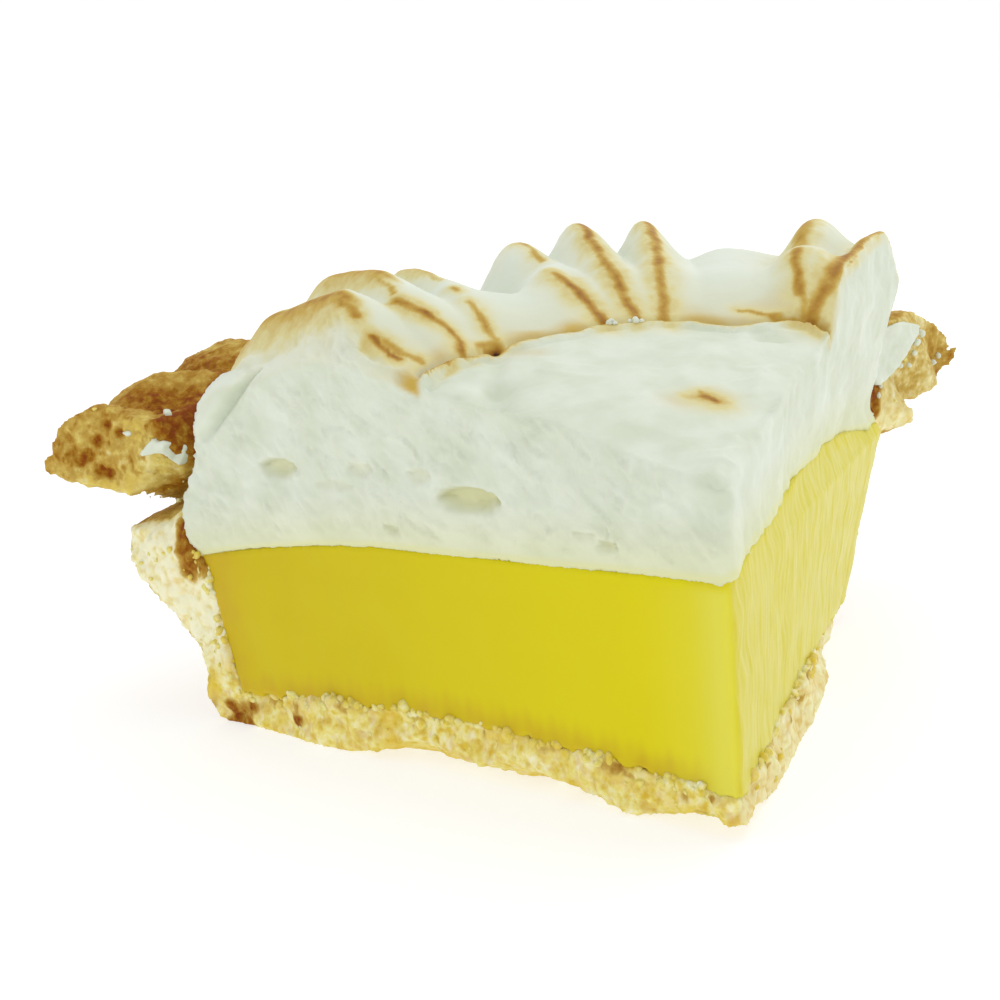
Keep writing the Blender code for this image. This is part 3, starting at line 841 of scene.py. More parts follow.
SHORTER = 0.2            # past this radius it is shorter, by this share
SHORTER_FROM = 120
RIM_END = math.radians(33.9)        # where the rim broke at both ends
RIM_END_R = 102
RIM_END_LEAN = math.radians(0.185)  # for each millimetre outwards
NOTCH = math.radians(6)             # the bite below the left end of the rim
RIGHT_START = math.radians(1.0)     # the base ends this much short of the right cut,
BASE_BACK = math.radians(3.6)       # further out it ends this much earlier still,
WALL_BACK = math.radians(2.6)       # and so does the lower wall, by this much more
RIM_HOLDS = (25, 30)                # the heights over which the right end gets whole again
RAGGED = math.radians(0.5)          # how uneven both ends are
BASE_SHARE = 10 / 27     # how much of the section is base, and how much is base and wall
WALL_SHARE = 18 / 27

# The underside along the left cut, where flakes have gone from it: radii and heights
UNDER_RADII = (0, 9, 12, 17, 21, 25, 29, 33, 36, 39, 44, 48, 51, 54, 56, 58, 61, 66, 70, 78, 86)
UNDER_HEIGHTS = (
    -0.2, 0.2, -0.4, -1.9, -1.3, -0.4, 0.1, 1.4, 1.2, 0.7, 0.5,
    0.2, 1.4, 2.3, 2.6, 1.8, 0.2, -1.3, -2.2, -2.2, -2.2,
)
UNDER_REACH = 7          # how far in from the cut they reach

# %% Crust surfaces
def rim_point(turn):
    """A point of the rolled rim's section, turn being the angle round its middle."""
    out = RIM_REACH * np.cos(turn)
    up = RIM_DEPTH * np.sin(turn)
    return (
        RIM_MIDDLE + out * math.cos(RIM_DROOP) - up * math.sin(RIM_DROOP),
        RIM_HEIGHT + out * math.sin(RIM_DROOP) + up * math.cos(RIM_DROOP),
    )


def section_parts(along):
    """Shares of the way along the base, the wall and the rim."""
    base = np.clip(along / BASE_SHARE, 0, 1)
    wall = np.clip((along - BASE_SHARE) / (WALL_SHARE - BASE_SHARE), 0, 1)
    rim = np.clip((along - WALL_SHARE) / (1 - WALL_SHARE), 0, 1)
    return base, wall, rim


def by_part(along, on_base, on_wall, on_rim):
    return np.where(along < BASE_SHARE, on_base, np.where(along < WALL_SHARE, on_wall, on_rim))


def crust_inside(along, angle):
    base, wall, rim = section_parts(along)
    base_r = mix(POINT_RADIUS, filling_side(BASE_THICK), base)
    wall_z = mix(BASE_THICK, WALL_TOP, wall)
    over = rim_point(np.radians(mix(*OVER_RIM, rim)))
    blend = ramp(rim, 0.0, 0.22)
    rim_r = mix(bowl_side(WALL_TOP, angle), over[0], blend)
    rim_z = mix(WALL_TOP, over[1], blend)
    r = by_part(along, base_r, bowl_side(wall_z, angle), rim_r)
    return r, by_part(along, base_top(base_r), wall_z, rim_z)


def crust_outside(along):
    base, wall, rim = section_parts(along)
    wall_z = mix(-BASE_BELOW, WALL_TOP - WALL_SLOPE, wall)
    wall_r = np.interp(wall_z, WALL_HEIGHTS, WALL_RADII)
    under = rim_point(np.radians(mix(*UNDER_RIM, rim)))
    blend = ramp(rim, 0.0, 0.25)
    foot, top = WALL_RADII[0], WALL_RADII[-1]
    r = by_part(along, mix(POINT_RADIUS, foot, base), wall_r, mix(top, under[0], blend))
    rim_z = mix(WALL_TOP - WALL_SLOPE, under[1], blend)
    return r, by_part(along, 0 * along - BASE_BELOW, wall_z, rim_z)


def flute(radius, angle):
    """The crimped edge: each crest rises slowly and falls at once into a narrow crease.

    Near the left cut the crests run slantwise over the rim.
    """
    degrees = np.degrees(angle)
    slant = CREST_SLANT * (radius - SLANT_FROM) * ramp(-degrees, 20, 30)
    count = np.interp(degrees + slant, CRESTS, np.arange(len(CRESTS)))
    return np.interp(count % 1, FLUTE_PLACES, FLUTE_LEVELS)


def underside(radius, angle):
    """How much higher than the table the underside is."""
    at_cut = np.interp(radius, UNDER_RADII, UNDER_HEIGHTS) + BASE_BELOW
    point = BASE_BELOW * (1 - ramp(radius, 8, 16))
    beside = 1 - ramp((angle + HALF_ANGLE) * radius, 0, UNDER_REACH)
    return mix(point, at_cut, beside)


def broken_end(radius):
    return RIM_END + RIM_END_LEAN * (radius - RIM_END_R)


def left_break(along, radius):
    notch = NOTCH * hump(along, WALL_SHARE + 0.016, 0.02)
    ragged = RAGGED * np.sin(along * 41) * ramp(along, 0.1, 0.4)
    on_rim = ramp(along, WALL_SHARE - 0.01, WALL_SHARE + 0.08)
    return -mix(HALF_ANGLE, broken_end(radius), on_rim) + notch + ragged * (1 - 0.7 * on_rim)


def right_break(along, radius, z):
    base_back = BASE_BACK * ramp(along, 0.13, 0.31)
    wall_back = WALL_BACK * ramp(along, 0.32, 0.42)
    ragged = RAGGED * np.sin(along * 37 + z / 5) * ramp(along, 0.02, 0.12)
    low = HALF_ANGLE - RIGHT_START - base_back - wall_back
    return mix(low, broken_end(radius), ramp(z, *RIM_HOLDS)) + ragged


def rim_level(angle):
    across = angle / HALF_ANGLE
    crest = RIM_RISE * hump(across, RIM_CREST_AT, RIM_CREST_WIDTH)
    return crest - RIM_SAG * ramp(np.abs(across), 0.6, 1.0)


# %% Model the crust
def place_crust(along, through, across):
    rough_angle = mix(-HALF_ANGLE, HALF_ANGLE, across)
    inside = crust_inside(along, rough_angle)
    outside = crust_outside(along)
    radius = mix(inside[0], outside[0], through)
    z = mix(inside[1], outside[1], through)
    angle = mix(left_break(along, radius), right_break(along, radius, z), across)
    on_rim = ramp(along, WALL_SHARE + 0.04, 0.88)
    lip = LIP_SWELL * 4 * through * (1 - through) * ramp(along, 0.9, 1.0)
    at_left_end = ramp(-np.degrees(angle), *LEFT_END)
    wave = flute(radius, angle) * on_rim * (1 - 0.9 * ramp(radius, *CALM_LIP) * at_left_end)
    radius = radius + lip + FLUTE_OUT * wave
    z = z + underside(radius, angle) * through * (1 - ramp(along, BASE_SHARE, BASE_SHARE + 0.05))
    z = z + FLUTE_RISE * wave + rim_level(angle) * ramp(along, WALL_SHARE, 0.8)
    slump = ramp(-np.degrees(angle), *SLUMP_OVER) * ramp(along, WALL_SHARE + 0.03, 0.78)
    slump = slump * (1 - through)
    z = z - INNER_FALL * np.maximum(0, SLANT_FROM - radius) * slump
    pinch = PINCH * ramp(radius, *PINCH_FROM) * at_left_end
    radius = radius - SHORTER * np.maximum(0, radius - SHORTER_FROM) * at_left_end
    z = np.where(along > WALL_SHARE, mix(z, PINCH_HEIGHT, pinch), z)
    return on_pie(radius, angle, z, across)


CRUST_SKIN = 0.58
crust = soft_block("shortcrust_case", place_crust, CRUST_SKIN)
_, _, radius, angle, z = survey(crust)
under_filling = (z > 2) & (z < base_top(radius) + 1) & (radius < filling_side(z) - 1)
behind_filling = (radius < bowl_side(z, angle) + 0.8) & (radius > filling_side(z) - 2) & (z < 32)
on_table = z < 0.4 - BASE_BELOW
thin_out(crust, (under_filling | behind_filling | on_table) & well_inside(radius, angle, z))

# %% [markdown]
# ## Shortcrust: crumb and bake
# Broken shortcrust is crumbly: packed grains of a millimetre or two with creases between them, and
# a ragged outline. Where it was rolled and baked it is smoother, with small pits. The two differ in
# colour as well, pale inside and brown where the oven's heat reached, so the same masks drive the
# relief and the attributes `crumb`, `baked` and `crease`. The creases and the pits also get painted
# shade.

# %% Sculpt the crust
# Little holes in the left end of the case, dented in and painted dark as painted shade: radius,
# degrees, height, half width
PITS = (
    (125, -38.6, 44.3, 0.9), (124.5, -38.3, 42.1, 0.8), (122.9, -37.4, 41.3, 0.9),
    (121.4, -36.8, 38.6, 0.8), (119.8, -36.7, 38.2, 0.7), (123.9, -37.9, 40.3, 0.7),
    (121.2, -36.9, 43.7, 0.8), (119.0, -36.8, 46.2, 0.6), (117.0, -36.4, 44.8, 0.6),
    (97.5, -36, 0.6, 0.9), (93.0, -36, 1.4, 0.7), (82.0, -36, 1.0, 0.8), (103.5, -36, 23.5, 1.6),
    (104.5, -36, 33.5, 1.1), (103.0, -36, 29.5, 1.0),
)


def spot(radius, degrees, z):
    """A place in millimetres from (radius, degrees, height)."""
    x, y = polar_point(radius, degrees)
    return np.array([x, y, z])


def pit_dents_and_shade(points):
    total = np.zeros(len(points))
    for radius, degrees, z, half_width in PITS:
        away = np.linalg.norm(points - spot(radius, degrees, z), axis=1)
        total = np.maximum(total, hump(np.maximum(0, away - 0.6), 0, half_width))
    return total


points, normals, radius, angle, z = survey(crust)
left_end = facing(normals, LEFT, 0.75)
right_end = facing(normals, RIGHT, 0.75)
broken = np.maximum(left_end, right_end)
rim = ramp(radius, 104, 108) * ramp(z, 31, 36)
thin = ramp(radius, 126, 131) + 0.6 * ramp(radius, 132, 136) * left_end

ragged_edge = 0.9 * layered(points, 5.5, 61) * (1 - 0.7 * rim)
coarse, fine = grains(points, 2.3, 62), grains(points, 1.1, 63)
crumb_relief = 0.34 * (coarse - 0.45) + 0.3 * (fine - 0.45) + 0.35 * layered(points, 2.6, 68)
rolled_relief = relief(points, (0.45, 5, 64), (0.34, 2.2, 67)) + 0.3 * (fine - 0.45)
pits = 0.5 * ramp(lumps(points, 1.8, 66), 0.5, 0.8) * rim + 0.9 * pit_dents_and_shade(points)
rough = np.maximum(broken * (1 - 0.55 * rim), 0.3 * (1 - rim))
move = mix(rolled_relief - pits, crumb_relief + ragged_edge, rough) * (1 - 0.5 * thin)
off_table = ramp(z + BASE_BELOW, 0.2, 1.2)
points = points + normals * (move * mix(0.15, 1, off_table))[:, None]
points[:, 2] = np.maximum(points[:, 2], -BASE_BELOW)
write_points(crust, points)

# %% Paint the crust
points, normals, radius, angle, z = survey(crust)
degrees = np.degrees(angle)
mottle = relief(points, (0.22, 7, 71), (0.16, 2.6, 72), (0.1, 1.1, 74))
rim_height = z - rim_level(angle)
left_face = ramp(-degrees, 33.2, 35.0) * rim
right_face = ramp(degrees, 33.0, 35.5) * rim
crest = ramp(flute(radius, angle), 0.5, 0.95)
top_bake = 0.78 - 0.34 * crest
specks = ramp(layered(points, 1.5, 75), 0.25, 0.6)
left_bake = mix(0.05, 0.28, ramp(rim_height, 35, 43)) + 0.2 * ramp(radius, 122, 134)
left_bake = left_bake + 0.28 * specks * ramp(rim_height, 36, 42)
right_bake = 0.22 + 0.2 * ramp(radius, 124, 130)
under_bake = 0.4 * facing(normals, (0.0, 0.0, -1.0), 0.8)
rim_bake = mix(mix(top_bake, left_bake, left_face), right_bake, right_face)
rim_bake = mix(rim_bake, 0.5 * rim_bake, under_bake)
outer_wall = 0.38 * ramp(radius - filling_side(z), 5, 9) * (1 - broken)
inner_wall = 0.8 * (1 - ramp(radius - filling_side(z), 3.5, 6))
inner_wall = inner_wall * ramp(radius, 97, 99) * ramp(z, 21, 25)
foot = 0.8 * hump(radius, 98, 7) * (1 - ramp(z, 0, 3.5)) * ramp(lumps(points, 5, 73), -0.3, 0.2)
stain_depth = hump(base_top(radius) - z, 1.4, 1.5) * (1 - ramp(radius, 92, 96))
stain = 0.42 * ramp(layered(points, 3.5, 76), 0.1, 0.6) * stain_depth * broken
bake = np.maximum.reduce([rim * rim_bake, outer_wall, inner_wall, foot, stain])
bake = bake + mottle * np.minimum(1, 2.2 * bake)
# The pits are painted dark brown, as painted shade in the holes.
paint(crust, "baked", np.maximum(bake, 0.85 * pit_dents_and_shade(points)))
paint(crust, "crumb", np.maximum(broken, 1 - rim))
# Painted shade: the creases between grains are painted darker, since little light comes back out of
# them.
creases = 1 - ramp(np.maximum(grains(points, 2.3, 62), grains(points, 1.1, 63)), 0.35, 0.62)
wall = ramp(z, 5, 12) * (1 - rim)
paint(crust, "crease", 0.4 * creases * np.maximum(broken, 0.4) * (1 - 0.7 * wall))
floury = np.maximum(0.85 * wall * (1 - right_end), 0.45 * right_end)
paint(crust, "floury", floury * broken * (1 - 0.6 * creases))
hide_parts("crust")
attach(crust, "root")

# %% [markdown]
# ## Materials
# Colours are the ones a cook would see in daylight, given as sRGB hex values and turned to linear by
# one function. One small helper adds a node, sets it and links it, so that each material below reads
# as a list of its parts. Two more hold what the foods share: stains, and browning in the heat.

# %% Colour and node helpers
COLOURS = {"data_type": "RGBA"}  # a Mix of colours: 0 is its factor, 6 and 7 the two, 2 the result


def colour(code):
    """An sRGB hex value as linear red, green, blue and alpha."""
    shares = [int(code[k : k + 2], 16) / 255 for k in (1, 3, 5)]
    return [s / 12.92 if s <= 0.04045 else ((s + 0.055) / 1.055) ** 2.4 for s in shares] + [1.0]


def add(material, kind, settings=None, links=None, out=0):
    """Adds a node, with its settings and links, and gives back one of its outputs.

    Settings are properties or inputs, a hex string stands for a colour, and "stops" are the
    (position, hex) pairs of a colour ramp. Links join other outputs to its inputs.
    """
    node = material.node_tree.nodes.new("ShaderNode" + kind)
    for name, value in (settings or {}).items():
        if name == "stops":
            elements = node.color_ramp.elements
            for position, _ in value[:-2]:
                elements.new(position)
            for element, (position, code) in zip(elements, value):
                element.position = position
                element.color = colour(code)
        elif isinstance(name, str) and hasattr(node, name):
            setattr(node, name, value)
        else:
            node.inputs[name].default_value = colour(value) if isinstance(value, str) else value
    for name, socket in (links or {}).items():
        material.node_tree.links.new(socket, node.inputs[name])
    return node.outputs[out] if len(node.outputs) else node


def start_material(name):
    """An empty node material and its Object coordinates."""
    material = bpy.data.materials.new(name)
    material.use_nodes = True
    material.node_tree.nodes.remove(material.node_tree.nodes["Principled BSDF"])
    return material, add(material, "TexCoord", out="Object")


def stained(m, plain, stains):
    """Lays the colour of each stain over the plain one, where its attribute is painted."""
    for name, code in stains:
        where = add(m, "Attribute", {"attribute_name": name}, out="Fac")
        plain = add(m, "Mix", {**COLOURS, 7: code}, {0: where, 6: plain}, out=2)
    return plain


def browned(m, place, plain, heat_name, stops, speckle, spread, reach):
    """Browns the plain colour by a painted heat, which a speckle makes uneven."""
    noise = add(m, "TexNoise", speckle, {"Vector": place})
    uneven = add(m, "MapRange", spread, {"Value": noise})
    painted = add(m, "Attribute", {"attribute_name": heat_name}, out="Fac")
    heat = add(m, "Math", {"operation": "MULTIPLY"}, {0: painted, 1: uneven})
    golden = add(m, "ValToRGB", {"stops": stops}, {"Fac": heat})
    reached = add(m, "MapRange", reach, {"Value": heat})
    return add(m, "Mix", COLOURS, {0: reached, 6: plain, 7: golden}, out=2)


def finish_material(material, shader):
    output = material.node_tree.nodes["Material Output"]
    material.node_tree.links.new(shader, output.inputs["Surface"])
    print(material.name, "has", len(material.node_tree.nodes), "nodes")
    return material


def cover(material, piece):
    piece.data.materials.clear()
    piece.data.materials.append(material)


# %% [markdown]
# ## Meringue: baked egg-white foam
# Beaten egg white and sugar is white because of its bubbles, and light goes a millimetre or two into
# it, so its shadows are soft: a little subsurface does that. The cut is matt. Its bubble dents and
# torn notch are painted a darker warm grey as painted shade, and near the filling it is painted
# yellow as bounce light. The skin is whiter and slightly satin. Toast goes from cream through gold to
# dark brown, never straight to black.

# %% Meringue material
TOAST = [
    (0.0, "#e0dfc0"),
    (0.15, "#dad096"),
    (0.34, "#c6a64a"),
    (0.58, "#ad7e1c"),
    (0.8, "#925c06"),
    (1.0, "#38260f"),
]


def baked_meringue():
    m, place = start_material("baked_meringue")
    patches = add(m, "TexNoise", {"Scale": 1 / (7 * MM), "Detail": 3}, {"Vector": place})
    foam = add(m, "ValToRGB", {"stops": [(0.35, "#d4dbc6"), (0.65, "#e0e6d6")]}, {"Fac": patches})
    outer_skin = add(m, "Attribute", {"attribute_name": "outer_skin"}, out="Fac")
    skin_stops = [(0.0, "#d6d7bc"), (0.4, "#dbe0cc"), (1.0, "#e0e6d8")]
    skin_colour = add(m, "ValToRGB", {"stops": skin_stops}, {"Fac": outer_skin})
    skin = add(m, "Attribute", {"attribute_name": "skin"}, out="Fac")
    white = add(m, "Mix", COLOURS, {0: skin, 6: foam, 7: skin_colour}, out=2)
    # The first stain is painted yellow bounce light from the filling, and the second is painted shade
    # in the bubble dents and the notch.
    stains = (("lemon_tint", "#dedfa8"), ("hollow", "#d6d5a6"), ("syrup", "#c8a740"))
    white = stained(m, white, stains)
    speckle = {"Scale": 1 / (1.1 * MM), "Detail": 4}
    spread = {"From Min": 0.3, "From Max": 0.7, "To Min": 0.85, "To Max": 1.12}
    reach = {"From Min": 0.0, "From Max": 0.16}
    final = browned(m, place, white, "toast", TOAST, speckle, spread, reach)
    fine = add(m, "TexNoise", {"Scale": 1 / (1.2 * MM), "Detail": 5}, {"Vector": place})
    bump = add(m, "Bump", {"Strength": 0.3, "Distance": 0.25 * MM}, {"Height": fine})
    soft_foam = {
        "Roughness": 0.6,
        "Subsurface Weight": 0.3,
        "Subsurface Radius": (1.0, 0.95, 0.8),
        "Subsurface Scale": 1.0 * MM,
        "IOR": 1.4,
    }
    shader = add(m, "BsdfPrincipled", soft_foam, {"Base Color": final, "Normal": bump})
    return finish_material(m, shader)


meringue_finish = baked_meringue()
cover(meringue_finish, meringue)

# %% [markdown]
# ## Lemon curd: set with starch and egg
# It is a firm gel, so light goes well into it and comes back more yellow. The clean cut has a soft
# gloss. It is a little more orange near the crust, where it baked longest. The round nose of the point
# gets a painted highlight, and the left cut is painted paler near the point. On the dragged cut the
# surface is broken into fine pale fibres.

# %% Lemon curd material
RIM_END_Y = 0.030    # metres, along the slice
POINT_END_Y = -0.067
CURD = [(0.0, "#ddd200"), (0.25, "#d8cb00"), (0.6, "#cebb00"), (1.0, "#c6ad06")]


def lemon_curd():
    m, place = start_material("set_lemon_curd")
    along = add(m, "SeparateXYZ", links={0: place}, out="Y")
    outwards = add(m, "MapRange", {"From Min": POINT_END_Y, "From Max": RIM_END_Y}, {"Value": along})
    clean = add(m, "ValToRGB", {"stops": CURD}, {"Fac": outwards})
    broad = add(m, "TexNoise", {"Scale": 1 / (20 * MM), "Detail": 2}, {"Vector": place})
    broad_range = {"From Min": 0.4, "From Max": 0.7, "To Max": 0.3}
    broad_patches = add(m, "MapRange", broad_range, {"Value": broad})
    clean = add(m, "Mix", {**COLOURS, 7: "#d6c804"}, {0: broad_patches, 6: clean}, out=2)
    clean = stained(m, clean, [("near_crust", "#c7a31a")])
    squeezed = add(m, "Mapping", {"Scale": (1.0, 1.0, 0.16)}, {"Vector": place})
    fibre_grain = {"Scale": 1 / (1.0 * MM), "Detail": 5, "Distortion": 1.2}
    fibre_noise = add(m, "TexNoise", fibre_grain, {"Vector": squeezed})
    fibre_stops = [(0.25, "#d4c82c"), (0.75, "#ddd56c")]
    fibres = add(m, "ValToRGB", {"stops": fibre_stops}, {"Fac": fibre_noise})
    small = add(m, "TexNoise", {"Scale": 1 / (6 * MM), "Detail": 3}, {"Vector": place})
    small_range = {"From Min": 0.35, "From Max": 0.65, "To Max": 0.5}
    small_patches = add(m, "MapRange", small_range, {"Value": small})
    drawn = add(m, "Mix", {**COLOURS, 7: "#d8cc3a"}, {0: small_patches, 6: fibres}, out=2)
    dragged = add(m, "Attribute", {"attribute_name": "dragged"}, out="Fac")
    final = add(m, "Mix", COLOURS, {0: dragged, 6: clean, 7: drawn}, out=2)
    # The second stain is a painted highlight on the nose of the point, with paler paint on the left cut
    # near it.
    final = stained(m, final, (("upper_rim", "#d8cb22"), ("pale_point", "#dfd950")))
    streaks = add(m, "TexNoise", {"Scale": 1 / (1.5 * MM), "Detail": 3}, {"Vector": squeezed})
    bump = add(m, "Bump", {"Strength": 0.1, "Distance": 0.2 * MM}, {"Height": streaks})
    gel = {
        "Roughness": 0.34,
        "Specular IOR Level": 0.25,
        "Subsurface Weight": 0.3,
        "Subsurface Radius": (1.0, 0.8, 0.12),
        "Subsurface Scale": 3 * MM,
        "IOR": 1.38,
    }
    shader = add(m, "BsdfPrincipled", gel, {"Base Color": final, "Normal": bump})
    return finish_material(m, shader)


cover(lemon_curd(), filling)

# %% [markdown]
# ## Shortcrust: flour, butter and sugar
# Inside it is pale and dull with yellow where butter lay, and its creases look darker because little
# light comes back out of them. Outside it goes from gold to chestnut, in patches of a few
# millimetres, with a faint sheen from the butter.

# %% Shortcrust material
BAKE = [
    (0.0, "#e2d48a"),
    (0.22, "#d0b45c"),
    (0.45, "#b9913a"),
    (0.7, "#a06c0c"),
    (1.0, "#863e00"),
]


def shortcrust():
    m, place = start_material("baked_shortcrust")
    crumb = add(m, "TexNoise", {"Scale": 1 / (1.5 * MM), "Detail": 4}, {"Vector": place})
    crumb_stops = [(0.32, "#dfc546"), (0.5, "#eee28a"), (0.7, "#f8f4ce")]
    inside = add(m, "ValToRGB", {"stops": crumb_stops}, {"Fac": crumb})
    patches = add(m, "TexNoise", {"Scale": 1 / (6 * MM), "Detail": 3}, {"Vector": place})
    butter_range = {"From Min": 0.48, "From Max": 0.62, "To Max": 0.7}
    butter = add(m, "MapRange", butter_range, {"Value": patches})
    inside = add(m, "Mix", {**COLOURS, 7: "#e3c32c"}, {0: butter, 6: inside}, out=2)
    inside = stained(m, inside, (("crease", "#cf9a20"), ("floury", "#faf8dc")))
    speckle = {"Scale": 1 / (1.3 * MM), "Detail": 8, "Roughness": 0.62}
    spread = {"From Min": 0.32, "From Max": 0.68, "To Min": 0.6, "To Max": 1.4}
    reach = {"From Min": 0.04, "From Max": 0.3}
    final = browned(m, place, inside, "baked", BAKE, speckle, spread, reach)
    fine_grain = {"Scale": 1 / (1.2 * MM), "Detail": 8, "Roughness": 0.65}
    fine = add(m, "TexNoise", fine_grain, {"Vector": place})
    bump = add(m, "Bump", {"Strength": 0.7, "Distance": 0.55 * MM}, {"Height": fine})
    biscuit = {
        "Roughness": 0.7,
        "Specular IOR Level": 0.2,
        "Subsurface Weight": 0.25,
        "Subsurface Radius": (1.0, 0.75, 0.35),
        "Subsurface Scale": 1.2 * MM,
        "IOR": 1.45,
    }
    shader = add(m, "BsdfPrincipled", biscuit, {"Base Color": final, "Normal": bump})
    return finish_material(m, shader)


crust_finish = shortcrust()
cover(crust_finish, crust)

# %% [markdown]
# ## Small pieces that broke off
# Cutting a pie leaves flakes and crumbs. A flake of meringue hangs on the left end of the rim, a
# smear of it sits on the right end, and crumbs cling along the broken pastry. A flake starts as a
# flat outline that is extruded, remeshed and smoothed. The crumbs share one rough pebble of a few
# dozen faces, which is copied, turned and sized, and joined into one piece for each kind.

# %% Helpers for small pieces
FLAKE_SKIN = 0.28    # millimetres
FLAKE_ROUNDS = 3


def settle(base, place):
    """The point of a piece's surface nearest to a place, and the way the surface looks there."""
    _, nearest, normal, _ = base.closest_point_on_mesh((place * MM + PIE_MIDDLE).tolist())
    return (np.array(nearest) - PIE_MIDDLE) / MM, np.array(normal)


def finish_piece(piece, material):
    bpy.ops.object.shade_smooth()
    cover(material, piece)
    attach(piece, "root")
    piece.data.calc_loop_triangles()
    print(piece.name, "has", len(piece.data.loop_triangles), "triangles")


def flake(name, base, outline, outwards, thickness, material):
    """A soft flat flake with that outline, lying on the surface of base."""
    bpy.ops.object.select_all(action="DESELECT")
    bpy.ops.mesh.primitive_circle_add(vertices=len(outline), radius=MM, fill_type="NGON")
    piece = bpy.context.object
    piece.name = piece.data.name = name
    lift = thickness * np.array(outwards) / np.linalg.norm(outwards)
    places = np.array([settle(base, spot(*corner))[0] for corner in outline])
    write_points(piece, places - 0.6 * lift)
    bpy.ops.object.mode_set(mode="EDIT")
    bpy.ops.mesh.select_all(action="SELECT")
    move = {"value": (1.6 * lift * MM).tolist()}
    bpy.ops.mesh.extrude_region_move(TRANSFORM_OT_translate=move)
    bpy.ops.mesh.select_all(action="SELECT")
    bpy.ops.mesh.quads_convert_to_tris()
    bpy.ops.object.mode_set(mode="OBJECT")
    turn_faces()
    even_skin(piece, FLAKE_SKIN, FLAKE_ROUNDS)
    points = read_points(piece)
    write_points(piece, points + 0.25 * read_normals(piece) * lumps(points, 1.6, 81)[:, None])
    finish_piece(piece, material)


def scatter(name, base, places, sizes, sink, material):
    """Copies of one rough pebble, each set into the surface of base, joined into one piece."""
    rng = np.random.default_rng(len(places))
    bpy.ops.object.select_all(action="DESELECT")
    bpy.ops.mesh.primitive_ico_sphere_add(subdivisions=2, radius=0.5 * MM)
    pebble = bpy.context.object
    shape = read_points(pebble) + PIE_MIDDLE / MM
    shape *= (1 + 0.4 * lumps(shape, 0.5, 82))[:, None]
    bits = [pebble] + [pebble.copy() for _ in places[1:]]
    for bit, place, size in zip(bits, places, sizes):
        if bit is not pebble:
            bit.data = pebble.data.copy()
            bpy.context.scene.collection.objects.link(bit)
        where, normal = settle(base, place)
        turn = np.linalg.qr(rng.normal(size=(3, 3)))[0]
        turn[:, 0] *= np.sign(np.linalg.det(turn))
        stretched = shape * size * rng.uniform(0.65, 1.25, 3)
        write_points(bit, stretched @ turn.T + where + (0.5 - sink) * size * normal)
        bit.select_set(True)
    bpy.context.view_layer.objects.active = pebble
    bpy.ops.object.join()
    pebble.name = pebble.data.name = name
    finish_piece(pebble, material)


# %% Flakes and smears of meringue
RIM_FLAKE = (
    (112.3, -36.4, 41.7), (110.7, -36.2, 43.2), (110.0, -35.7, 44.0), (109.6, -35.6, 44.4),
    (109.4, -35.5, 43.7), (107.8, -34.9, 43.6), (107.2, -33.4, 42.7), (106.9, -33.2, 41.8),
    (106.7, -33.4, 40.8), (108.1, -33.6, 39.4), (108.8, -34.0, 39.9), (108.8, -35.0, 41.4),
    (109.9, -35.9, 41.6), (111.5, -36.2, 41.5),
)
SMALL_FLAKE = ((116.7, -36.1, 45.0), (114.9, -36.2, 45.4), (113.7, -36.2, 45.0), (114.8, -36.4, 44.5))
UPPER_FLAKE = ((112.3, -33.4, 47.4), (112.8, -32.6, 47.3), (109.3, -33.7, 47.2), (109.8, -34.3, 47.3))
RIGHT_SMEAR = (
    (122, 37.4, 47.2), (118.3, 37.3, 45), (116.4, 36.9, 43.1), (115.0, 36.5, 40.9), (111.5, 35.6, 39.8),
    (106, 35.6, 39.5), (102, 35.6, 41.5), (102, 36.0, 45.0), (108, 36.4, 48.5), (115, 36.9, 49.0),
)
flake("rim_flake", crust, RIM_FLAKE, LEFT, 1.0, meringue_finish)
flake("small_flake", crust, SMALL_FLAKE, LEFT, 0.5, meringue_finish)
flake("upper_flake", crust, UPPER_FLAKE, (0, 0, 1), 0.7, meringue_finish)
flake("right_smear", crust, RIGHT_SMEAR, RIGHT, 1.1, meringue_finish)

# %% Grains and crumbs
GRAINS = (
    (123.4, 37.5, 45.6), (119.9, 37.5, 44.5),
    (119.5, 37.5, 42.6), (130.5, 38.4, 40.5), (128.5, 38.2, 39.5), (116.3, 36.6, 40.8),
    (118.4, 37.2, 40.5), (114.7, 36.2, 41.9), (108.0, 35.3, 38.7), (107.4, 35.2, 37.1),
)
TORN_BITS = (
    (50.3, 2.2, 59.9), (50.1, 2.8, 60.3), (50.1, 6.6, 59.8), (50.2, 7.6, 59.7), (50.4, 5.6, 59.6),
)
TORN_SIZES = (1.2, 0.9, 1.4, 0.9, 0.8)
GRAIN_SINK = 0.3      # the share of a bit that lies under the surface
CRUMB_SINK = 0.5
EDGE_SINK = 0.62
CRUMB_COUNT = 160
CRUMB_SIZES = (0.4, 1.2)
grain_places = [spot(*place) for place in GRAINS]
grain_sizes = np.linspace(1.5, 0.9, len(GRAINS))
scatter("white_grains", crust, grain_places, grain_sizes, GRAIN_SINK, meringue_finish)
torn_places = [spot(*place) for place in TORN_BITS]
scatter("torn_bits", meringue, torn_places, TORN_SIZES, GRAIN_SINK, meringue_finish)

